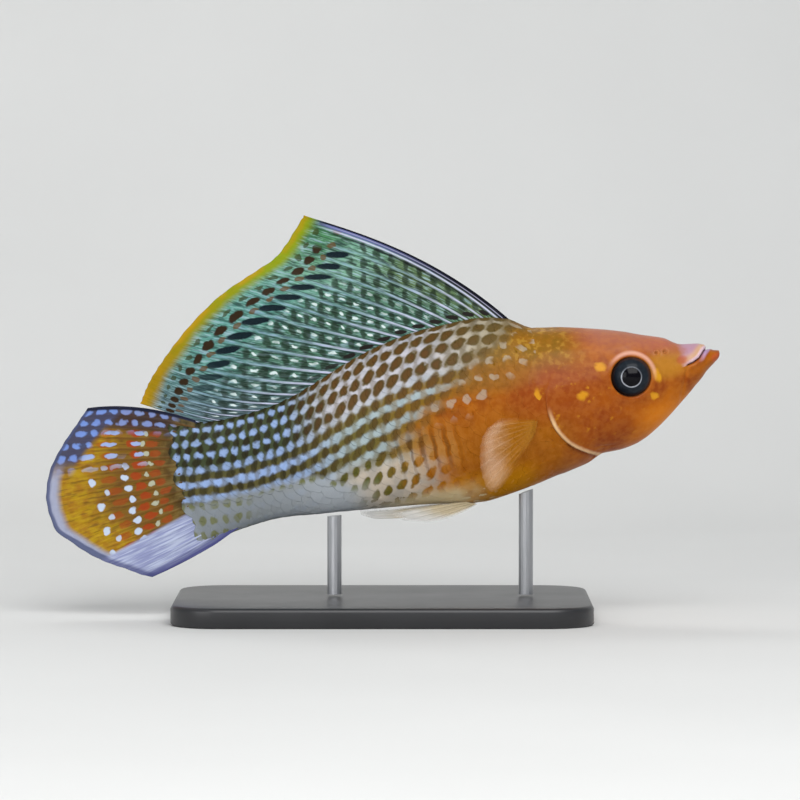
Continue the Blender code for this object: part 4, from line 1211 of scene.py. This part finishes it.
def scale_paint():
    """The ground, the net's light and dark, and the front colours up to the border; then the
    silver below, single dots in front, olive specks and the brown bars of the flank."""
    paint = Paint("painted_scales", Coat_Roughness=0.2, Specular_IOR_Level=0.08)
    a, b = paint.pair("scale")
    step, row = paint.pair("marks")
    s, h = paint.here()
    luck = paint.number("luck")
    uneven = paint.noise(1.6, 2.0)
    border, bare, below = body_masks(s, h)
    border = border + (uneven - 0.5) * 5.0
    rear = s.between(47.0, 56.0)
    low = (h + 3.4).between(1.4, -1.4) * s.between(53.0, 46.0)

    jitter = paint.noise(1.2, 2.0) - 0.5
    step, row = step * MARKS_IN_MAP + jitter * 0.75, row * MARKS_IN_MAP + jitter * 0.55
    top = row.between(4.9, 3.6)
    cell, net, line, knot = net_masks(step, row)
    pale = line * (0.5 + 0.5 * knot)
    pale = blend(top, pale, blend(rear, net * (0.5 + 0.5 * knot), knot * 0.85))
    pale = blend(low, pale, cell.between(0.35, 0.95) * 0.9) * (border + low * 3.0).between(-2.0, 5.0)

    ground = paint.mix(top, rgb(122, 92, 26), rgb(96, 80, 42))
    light = paint.mix(rear, rgb(162, 178, 182), rgb(150, 176, 224))
    ground = paint.mix(s.between(38.0, 46.0) * (1.0 - top), ground, rgb(100, 90, 42))
    ground = paint.mix(rear, ground, paint.mix(top, rgb(88, 82, 46), rgb(60, 68, 44)))
    dark = paint.mix(cell.between(0.95, 0.1), rgb(44, 36, 24), rgb(88, 58, 24))
    light = paint.layers(
        light,
        (top * (1.0 - rear), rgb(188, 186, 194)),
        (top * s.between(38.0, 28.0) * 0.8, rgb(172, 158, 122)),
        (uneven.between(0.50, 0.62) * s.between(36.0, 28.0) * 0.5, rgb(120, 92, 34)),
        (low, rgb(208, 194, 178)),
        (uneven.between(0.35, 0.7) * 0.35, rgb(112, 124, 132)))
    orange = paint.mix((s + uneven * 9.0).between(43.0, 51.0), rgb(156, 88, 10), rgb(84, 92, 36))
    dark = paint.layers(
        dark,
        ((1.0 - top) * s.between(38.0, 46.0) * 0.6, rgb(62, 56, 26)),
        (rear, rgb(36, 30, 14)),
        (low, orange))

    tone = paint.mix(border.between(-4.0, 3.0), front_colour(paint, s, h), ground)
    spot = (cell * blend(low, 1.05, 2.7)).between(1.1, 0.35) * blend(top, 0.80, 0.94)
    spot = spot * (0.35 + 0.65 * (s + uneven * 8.0).between(30.0, 40.0).either(low))
    silver = silver_colour(paint, s)
    few = border.between(-10.0, -6.0) * border.between(2.0, -1.0) * h.between(-1.0, 1.0)
    few = few * paint.noise(2.2, 1.0).between(0.36, 0.50) * knot.between(0.62, 1.0)
    specks = below.near(-0.35, 0.75).either(s.between(60.0, 63.5) * below.between(0.0, -1.5))
    specks = specks * cell.between(0.90, 0.30) * s.between(45.0, 50.0)
    flank = s.between(33.0, 36.0) * s.between(44.0, 41.0) * (h + 3.4).near(0.0, 4.6)
    bars = (s * 4.2 + uneven * 4.0).wave()
    across = (b - 0.5) * 2
    arcs = (a * 60 + across * across * 8).wave()
    fine = paint.noise(0.3, 2.0)
    tone = paint.layers(
        tone,
        (pale * 0.94, light),
        (spot * (border + low * 5.0).between(-5.0, 2.0) * (0.7 + 0.3 * luck), dark),
        (bare * border.between(-9.0, -2.0) * (0.90 + 0.10 * luck), silver),
        (few * 0.5, rgb(178, 168, 150)),
        (specks * (0.45 + 0.4 * luck), rgb(104, 106, 34)),
        (bars.between(0.45, 0.95) * flank * 0.5, rgb(78, 48, 12)),
        (bars.between(0.30, 0.0) * flank * 0.3, rgb(188, 148, 84)))
    return paint.finish(Base_Color=tone, Roughness=0.40 + 0.14 * luck,
                        Metallic=0.12 * pale + 0.05 * bare, Coat_Weight=0.03 + 0.05 * luck,
                        Normal=paint.bump(arcs * 0.5 + fine * 0.6, 0.008, 0.5))


scale_finish = scale_paint()
for coat in (scales_right, scales_left):
    coat.data.materials.append(scale_finish)

# %% [markdown]
# ## The sail's paint
#
# Between each two rays runs a strip of membrane with its own string of marks: a black spot
# at the root, olive ovals and pale dashes, a long blue-black dash two thirds of the way
# out, brown dots, and the yellow margin. `c` counts rays, so its fraction tells how far
# across a strip a point lies.

# %% Dorsal material
def fin_places(paint):
    """Share along the ray, ray number, mm from the root and from the edge, and across the
    strip of membrane: the strip's number, the place from its middle, and from the nearer ray."""
    u, c = paint.pair("fin")
    c = c * RAYS_IN_MAP
    reach, left = (part * REACH_IN_MAP for part in paint.pair("reach"))
    across = c.part() - 0.5
    return u, c, reach, left, c.whole(), across, 0.5 - across.size()


def dorsal_paint():
    """Cloudy greens with fine streaks, the strings of marks, the rays, the striped front edge
    and the yellow margin, in that order."""
    paint = Paint("sail_membrane", Coat_Roughness=0.25, Specular_IOR_Level=0.10)
    s, h = paint.here()
    u, c, reach, left, strip, across, from_ray = fin_places(paint)
    v = c / (DORSAL_RAYS - 1)
    cloud = paint.noise(3.0, 2.0)
    uneven = paint.noise(1.2, 2.0) - 0.5
    sway = across + uneven * 0.35

    tone = paint.mix(left.between(5.5, 11.0), rgb(96, 154, 142), rgb(80, 122, 98))
    streak = paint.grain(reach / 2.2, c * 5.0)
    hair = paint.grain(reach / 1.4, c * 10.0)
    tone = paint.layers(
        tone,
        (v.between(0.30, 0.06) * u.between(0.80, 0.45) * 0.8, rgb(104, 116, 44)),
        (v.between(0.42, 0.20) * u.between(0.42, 0.66) * 0.8, rgb(128, 176, 148)),
        (left.between(8.0, 4.0) * v.between(0.30, 0.10), rgb(76, 132, 84)),
        (v.between(0.55, 0.92) * 0.8, rgb(106, 120, 138)),
        (v.between(0.60, 0.95) * left.between(6.0, 9.0) * 0.5, rgb(58, 70, 74)),
        (cloud.between(0.3, 0.7) * 0.35, rgb(58, 104, 98)),
        (streak.between(0.50, 0.62) * 0.65, rgb(26, 48, 42)),
        (streak.between(0.46, 0.34) * 0.65, rgb(150, 178, 190)),
        (hair.between(0.52, 0.62) * 0.40, rgb(24, 42, 40)),
        (hair.between(0.46, 0.36) * 0.40, rgb(160, 190, 190)),
        (reach.between(4.0, 1.0) * v.between(0.25, 0.5) * 0.3, rgb(36, 48, 54)))

    level = s * COS + h * SIN - 50.6
    count = level / (1.75 + 0.75 * strip.between(7.5, 9.5)) + uneven * 0.6
    inner = left.between(7.4, 8.4) * reach.between(1.0, 1.8)
    blot = oval(count.part(), 0.5, 0.24, sway, 0.36, (1.6, 0.3)) * inner
    slim = ((count + 0.25).part() - 0.5).size().between(0.36, 0.14)
    slim = slim * from_ray.near(0.22, 0.10) * inner * streak.between(0.38, 0.52)
    dash = oval((count + 0.5).part(), 0.5, 0.19, across + 0.06 + uneven * 0.5, 0.10, (1.5, 0.4))
    dash = dash * inner * v.between(0.16, 0.34) * (paint.noise(1.7, 1.0).between(0.30, 0.55) * 0.6 + 0.4)
    tone = paint.layers(
        tone,
        (blot * 0.78, rgb(20, 32, 18)),
        (slim * 0.8, rgb(18, 34, 32)),
        (dash, rgb(208, 222, 222)))

    tilted = across + (left - 6.3) * 0.17
    mark = oval(left + uneven * 0.8, 6.3, 1.45, tilted + uneven * 0.15, 0.30) * c.between(1.4, 2.0)
    tone = paint.layers(
        tone,
        (mark * v.between(1.05, 0.6), rgb(6, 26, 34)),
        (oval(left + uneven, 3.75, 0.60, sway, 0.40) * c.between(1.9, 2.6), rgb(44, 30, 12)),
        (oval(left + uneven * 1.6, 2.45, 0.36, sway, 0.26) * 0.8, rgb(50, 58, 22)))

    edge = from_ray.near(0.15, 0.07) * left.between(2.6, 6.0)
    ray_tone = paint.mix(u.between(0.10, 0.5), rgb(186, 188, 214), rgb(126, 152, 178))
    ray = from_ray.between(0.115, 0.04) * left.between(2.2, 6.0)
    bright = 0.20 + 0.35 * streak.between(0.55, 0.40) + 0.40 * u.between(0.6, 0.1)
    root_dot = oval(reach, 1.05, 0.62, sway, 0.33) * v.between(0.9, 0.5)
    tone = paint.layers(
        tone,
        (edge * 0.6, rgb(24, 36, 42)),
        (ray * bright, ray_tone),
        (oval(left + uneven * 1.4, 4.9, 0.48, from_ray, 0.24) * 0.8, rgb(92, 62, 22)),
        (root_dot, rgb(20, 14, 10)))

    lead = c.between(1.0, 0.75)
    white = (c.near(0.58, 0.10) * 0.7).either(c.near(1.04, 0.17)) * left.between(1.5, 6.0)
    tone = paint.layers(
        tone,
        (lead * left.between(1.0, 4.0),
         paint.mix(u.between(0.25, 0.85), rgb(18, 18, 34), rgb(96, 102, 154))),
        (c.between(0.42, 0.24) * left.between(1.0, 3.0), rgb(8, 10, 26)),
        (white * 0.85, rgb(196, 198, 222)),
        (c.near(1.30, 0.14) * left.between(2.0, 6.0) * 0.9, rgb(14, 16, 22)))

    margin = (left + cloud * 1.1).between(3.0, 1.3)
    yellow = paint.mix(v.between(0.25, 0.8), rgb(128, 144, 8), rgb(150, 122, 4))
    yellow = paint.mix(left.between(1.0, 0.3) * cloud.between(0.35, 0.6) * 0.6, yellow, rgb(186, 136, 14))
    thin = 1.0 - ray.either(root_dot)
    tone = paint.mix(margin * (0.75 + 0.25 * left.between(2.0, 1.0)), tone, yellow)
    return paint.finish(Base_Color=tone, Roughness=0.40 + 0.1 * cloud, Alpha=1.0 - 0.05 * thin,
                        Normal=paint.bump(paint.noise(0.25, 2.0), 0.010, 0.5))


dorsal.data.materials.append(dorsal_paint())

# %% [markdown]
# ## The tail's paint
#
# Amber in the middle, with rows of round pale spots and red dashes between the rays, blue
# dashes along the upper edge, a smoky clear margin, and a violet-grey lower lobe below a
# slanting border.

# %% Caudal material
def caudal_paint():
    """Amber and brown with red dashes, pale spots, the blue upper corner, the clear margin,
    and over them the violet-grey lower lobe."""
    paint = Paint("tail_membrane", Coat_Roughness=0.2, Specular_IOR_Level=0.15)
    s, h = paint.here()
    u, c, reach, left, strip, across, from_ray = fin_places(paint)
    odd = (strip * 0.5).part() * 2
    cloud = paint.noise(1.3, 3.0)
    upper = c.between(6.4, 4.2)
    slip = ((strip * 0.37).part() - 0.5) * 0.9
    uneven = paint.noise(1.0, 2.0) - 0.5
    sway = across + uneven * 0.4

    tone = paint.mix(cloud.between(0.3, 0.7), rgb(170, 136, 10), rgb(150, 102, 12))
    brown = paint.mix(cloud.between(0.35, 0.65), rgb(108, 90, 48), rgb(54, 46, 20))
    streak = paint.grain(reach / 2.2, c * 5.0)
    jolt = slip + uneven * 1.6
    jolted, nudged = reach + jolt, reach + jolt * 0.6
    red = oval(jolted, 5.4, 0.75, sway, 0.38) * 0.7
    red = red.either(oval(jolted, 7.9, 0.90, sway, 0.40))
    red = red.either(oval(jolted, 11.3, 1.0, sway, 0.32) * 0.6)
    tone = paint.layers(
        tone,
        (left.between(4.0, 9.0) * 0.8, rgb(104, 72, 24)),
        ((reach + cloud * 1.5).between(8.0, 3.2), brown),
        (streak.between(0.50, 0.66) * 0.5, rgb(72, 48, 16)),
        (streak.between(0.45, 0.32) * 0.35 * left.between(8.0, 3.0), rgb(196, 158, 30)),
        (red * 0.8, rgb(156, 52, 8)),
        (from_ray.between(0.16, 0.04) * (0.35 + 0.3 * upper) * u.between(0.95, 0.5), rgb(92, 58, 18)))

    small = oval(jolted, 6.55, 0.36, sway, 0.28)
    spots = oval(nudged, 9.5, 0.50, sway, 0.34)
    spots = spots.either(oval(nudged, 13.6, 0.50, sway, 0.34) * (1.0 - odd))
    spots = spots.either(oval(nudged, 12.2, 0.42, sway, 0.26) * odd * 0.85)
    long = oval(jolted, 7.4, 0.66, sway, 0.24).either(oval(jolted, 10.8, 0.95, sway, 0.22))
    long = long.either(oval(jolted, 14.0, 1.1, sway, 0.22))
    spots = blend(upper, spots, long)
    tone = paint.mix(small * 0.75, tone, rgb(184, 190, 168))
    tone = paint.mix(spots, tone, paint.mix(upper * 0.9, rgb(186, 198, 218), rgb(146, 164, 210)))

    corner = c.between(6.2, 4.4) * (left + c * 0.3).between(5.4, 4.2)
    count = (reach + strip * 1.1) / 1.6 + uneven * 0.9
    dash = oval(count.part(), 0.5, 0.34, sway, 0.30, (1.5, 0.4))
    ground = paint.mix(corner, rgb(56, 42, 40), rgb(56, 60, 88))
    blue = paint.mix(dash, ground, paint.mix(corner, rgb(118, 136, 188), rgb(108, 138, 206)))
    above = (c.between(2.8, 1.6) * reach.between(1.5, 4.0)).either(corner)
    margin = left.between(2.1, 1.0) * (1.0 - corner)
    slate = (left - c.between(8.0, 12.0) * 0.55).between(0.62, 0.28)
    tone = paint.layers(
        tone,
        (above * 0.95, blue),
        (margin, rgb(150, 156, 186)),
        (slate * 0.85, rgb(66, 74, 108)),
        (c.between(0.45, 0.25), rgb(20, 24, 46)))

    lobe = (h + 4.7 + (s - 70.9) * 0.26).between(0.25, -0.25)
    streak = paint.grain(reach / 4.0, c * 4.5)
    fine = paint.mix(streak.between(0.38, 0.66), rgb(136, 142, 180), rgb(176, 184, 208))
    fine = paint.mix(c.between(15.6, 16.9) * 0.9, fine, rgb(52, 52, 112))
    fine = paint.mix(left.between(1.3, 0.5) * 0.8, fine, rgb(66, 70, 116))
    clear = margin * (1.0 - slate) * 0.38 * (1.0 - lobe) + 0.06 * u
    tone = paint.mix(lobe, tone, fine)
    return paint.finish(Base_Color=tone, Roughness=0.38 + 0.1 * cloud, Alpha=1.0 - clear,
                        Normal=paint.bump(paint.noise(0.25, 2.0), 0.010, 0.5))


caudal.data.materials.append(caudal_paint())

# %% [markdown]
# ## Clear fins
#
# The paired fins are glassy: ochre near the body, pinkish white outside, with the rays
# less clear than the membrane.

# %% Clear fin material
def clear_paint(name, rays, near, far, blotch, solid):
    """near and far tint the fin, blotch its pale patch at the rear edge. The fin gets
    clearer towards every edge, solid is how much it hides in the middle."""
    paint = Paint(name, Coat_Roughness=0.2, Specular_IOR_Level=0.12)
    u, c = paint.pair("fin")
    count = c * RAYS_IN_MAP
    ray = (0.5 - (count.part() - 0.5).size()).between(0.16, 0.03)
    cloud = paint.noise(1.8, 2.0)
    tone = paint.mix(u.between(0.35, 0.95), near, far)
    pale = (u + (cloud - 0.5) * 0.4).between(0.45, 0.80)
    sides = count.between(-0.1, 0.9) * count.between(rays - 0.9, rays * 0.62)
    cover = (solid + ray * 0.08 + u.between(0.3, 0.0) * 0.30 + pale * 0.20)
    cover = cover * (0.08 + 0.92 * sides * (u + (cloud - 0.5) * 0.12).between(1.04, 0.80))
    tone = paint.mix(pale * 0.7, tone, blotch)
    tone = paint.mix(ray * 0.12, tone, rgb(226, 206, 190))
    return paint.finish(Base_Color=tone, Roughness=0.40 + 0.1 * cloud,
                        Alpha=cover.math("MINIMUM", 1.0),
                        Normal=paint.bump(paint.noise(0.25, 2.0), 0.006, 0.5))


amber_fin = clear_paint("pectoral_membrane", PECTORAL_RAYS, rgb(184, 122, 18), rgb(190, 138, 62),
                        rgb(212, 176, 148), 0.22)
silver_fin = clear_paint("pelvic_membrane", PELVIC_RAYS, rgb(200, 184, 150), rgb(186, 188, 186),
                         rgb(206, 204, 200), 0.55)
for fin in clear_fins:
    fin.data.materials.append(amber_fin if "pectoral" in fin.name else silver_fin)

# %% [markdown]
# ## Eye finish
#
# From the middle out: a black pupil, a thin silver ring that is brightest below, and a
# cloudy blue-black iris with a bronze outer edge. A thin clear coat gives the small sharp
# highlight of a wet eye.

# %% Eye material
def eye_paint():
    """Rings by the distance r from the eye's axis, brightest below."""
    paint = Paint("glass_eye", Coat_Weight=0.14, Coat_Roughness=0.06, Specular_IOR_Level=0.08)
    s, h = paint.here()
    r = paint.number("from_axis")
    cloud = paint.noise(0.5, 3.0)
    r = r + (cloud - 0.5) * 0.08
    tone = paint.mix(cloud, rgb(10, 14, 22), rgb(36, 44, 52))
    lower = ((s - EYE[0]) * 0.5 - h + EYE[1]).between(-1.3, 1.1)
    shine = r.near(1.24, 0.13) * (0.20 + 0.75 * lower) * (0.5 + 0.5 * cloud)
    tone = paint.layers(
        tone,
        (r.between(2.0, 2.4) * 0.5, rgb(84, 48, 24)),
        (shine, rgb(206, 210, 220)),
        (r.between(1.20, 1.12), rgb(4, 3, 8)))
    return paint.finish(Base_Color=tone, Roughness=0.16 + 0.2 * r.between(1.1, 1.4),
                        Metallic=0.5 * shine)


eye_finish = eye_paint()
for eye in eyes:
    eye.data.materials.append(eye_finish)

# %% [markdown]
# ## Stand finish
#
# Satin black resin with faint flow marks for the base, and brushed steel for the rods:
# noise stretched along the rod makes the brushing.

# %% Stand materials
def base_paint():
    """Black resin, a little duller in patches."""
    paint = Paint("satin_black", Coat_Roughness=0.25)
    grain = paint.noise(0.6, 4.0)
    wear = paint.noise(9.0, 3.0)
    tone = paint.mix(wear, rgb(26, 26, 28), rgb(38, 38, 41))
    return paint.finish(Base_Color=tone, Roughness=0.36 + 0.14 * wear, Coat_Weight=0.15 + 0.1 * wear,
                        Normal=paint.bump(grain, 0.012, 0.5))


def rod_paint():
    """Steel with noise stretched along the rod."""
    paint = Paint("brushed_rod", Metallic=0.95)
    lines = paint.noise(0.25, 3.0, (1, 1, 0.06))
    tone = paint.mix(lines, rgb(150, 152, 156), rgb(196, 197, 200))
    return paint.finish(Base_Color=tone, Roughness=0.28 + 0.2 * lines,
                        Normal=paint.bump(lines, 0.008, 0.4))


base.data.materials.append(base_paint())
rod_finish = rod_paint()
for node in ("stand_rod_front", "stand_rod_rear"):
    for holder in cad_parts[node].material_slots:
        holder.material = rod_finish

# %% [markdown]
# ## Floor, light and camera
#
# A plain pale floor that curves up behind and is clear from its back, a broad soft light
# from above and in front, and a weaker one from behind for the rim of the fins. The camera
# looks straight at the right flank from very slightly above, so far away that the fish keeps
# its true outline.

# %% Floor
def make_floor():
    """A sheet that lies flat and then bends up in a quarter circle behind the model. Its back
    is clear, so that the model can also be seen from behind."""
    back, bend, high = 0.16, 0.14, 0.5
    turn = np.linspace(0, np.pi / 2, 24)
    y = np.concatenate([[-1.2], back + bend * np.sin(turn), [back + bend]])
    z = np.concatenate([[0.0], bend * (1 - np.cos(turn)), [bend + high]])
    x = np.array([-1.5, 1.5])
    points = np.stack(np.broadcast_arrays(x, y[:, None], z[:, None]), -1).reshape(-1, 3)
    mesh = bpy.data.meshes.new("floor")
    mesh.from_pydata(points.tolist(), [], grid_quads(len(y), 2).tolist())
    mesh.shade_smooth()
    floor = bpy.data.objects.new("floor", mesh)
    bpy.context.scene.collection.objects.link(floor)
    paint = Paint("pale_floor", Roughness=0.8)
    paint.finish(Base_Color=paint.mix(paint.noise(60, 2.0), rgb(214, 214, 212), rgb(222, 222, 220)))
    behind = paint.node("ShaderNodeNewGeometry", output=6)
    clear = paint.node("ShaderNodeBsdfTransparent")
    plain = Value(paint, paint.shader.outputs[0])
    both = paint.node("ShaderNodeMixShader", None, {0: behind, 1: plain, 2: clear})
    paint.plug(paint.tree.nodes["Material Output"].inputs["Surface"], both)
    mesh.materials.append(paint.material)


make_floor()

# %% Lights and camera
PIXELS_PER_MM = 8.0
FRAME_PIXELS = 800
FISH_MIDDLE_PIXEL = 382.5
LOWEST_PIXEL = 577.0
LOWEST_POINT = 5.0
LENS = 220.0
SENSOR = 36.0
CAMERA_RISE = math.radians(2.5)
LIT_PLACE = (0.0, 0.0, 0.03)


def add_light(name, place_at, energy, size):
    """A square light turned to the model: it looks down its own -Z, so it tilts by the angle
    from straight down and pans to the model's side."""
    data = bpy.data.lights.new(name, "AREA")
    data.energy = energy
    data.size = size
    lamp = bpy.data.objects.new(name, data)
    bpy.context.scene.collection.objects.link(lamp)
    lamp.location = place_at
    aim = np.array(LIT_PLACE) - np.array(place_at)
    pan = math.atan2(aim[1], aim[0]) - math.pi / 2
    tilt = math.atan2(math.hypot(aim[0], aim[1]), -aim[2])
    lamp.rotation_euler = (tilt, 0, pan)


add_light("key_light", (0.08, -0.36, 0.34), 2.1, 0.40)
add_light("fill_light", (-0.30, -0.36, 0.06), 0.75, 0.30)
add_light("rim_light", (-0.10, 0.30, 0.30), 0.7, 0.25)

world = bpy.data.worlds.new("studio")
bpy.context.scene.world = world
world.use_nodes = True
sky = world.node_tree.nodes["Background"].inputs
sky["Color"].default_value = (0.86, 0.90, 0.95, 1)
sky["Strength"].default_value = 0.38

lens = bpy.data.cameras.new("camera")
lens.lens = LENS
lens.sensor_width = SENSOR
lens.clip_start = 0.01
camera = bpy.data.objects.new("camera", lens)
bpy.context.scene.collection.objects.link(camera)
middle_x = (FRAME_PIXELS / 2 - FISH_MIDDLE_PIXEL) / PIXELS_PER_MM * MM
middle_z = ((LOWEST_PIXEL - FRAME_PIXELS / 2) / PIXELS_PER_MM + LOWEST_POINT) * MM
span = FRAME_PIXELS / PIXELS_PER_MM * MM
distance = span * LENS / SENSOR
back, up = distance * math.cos(CAMERA_RISE), distance * math.sin(CAMERA_RISE)
camera.location = (middle_x, -back, middle_z + up)
camera.rotation_euler = (math.pi / 2 - CAMERA_RISE, 0, 0)
bpy.context.scene.camera = camera
bpy.context.scene.view_settings.view_transform = "Standard"
print("the camera is", round(distance * 1000), "mm away")
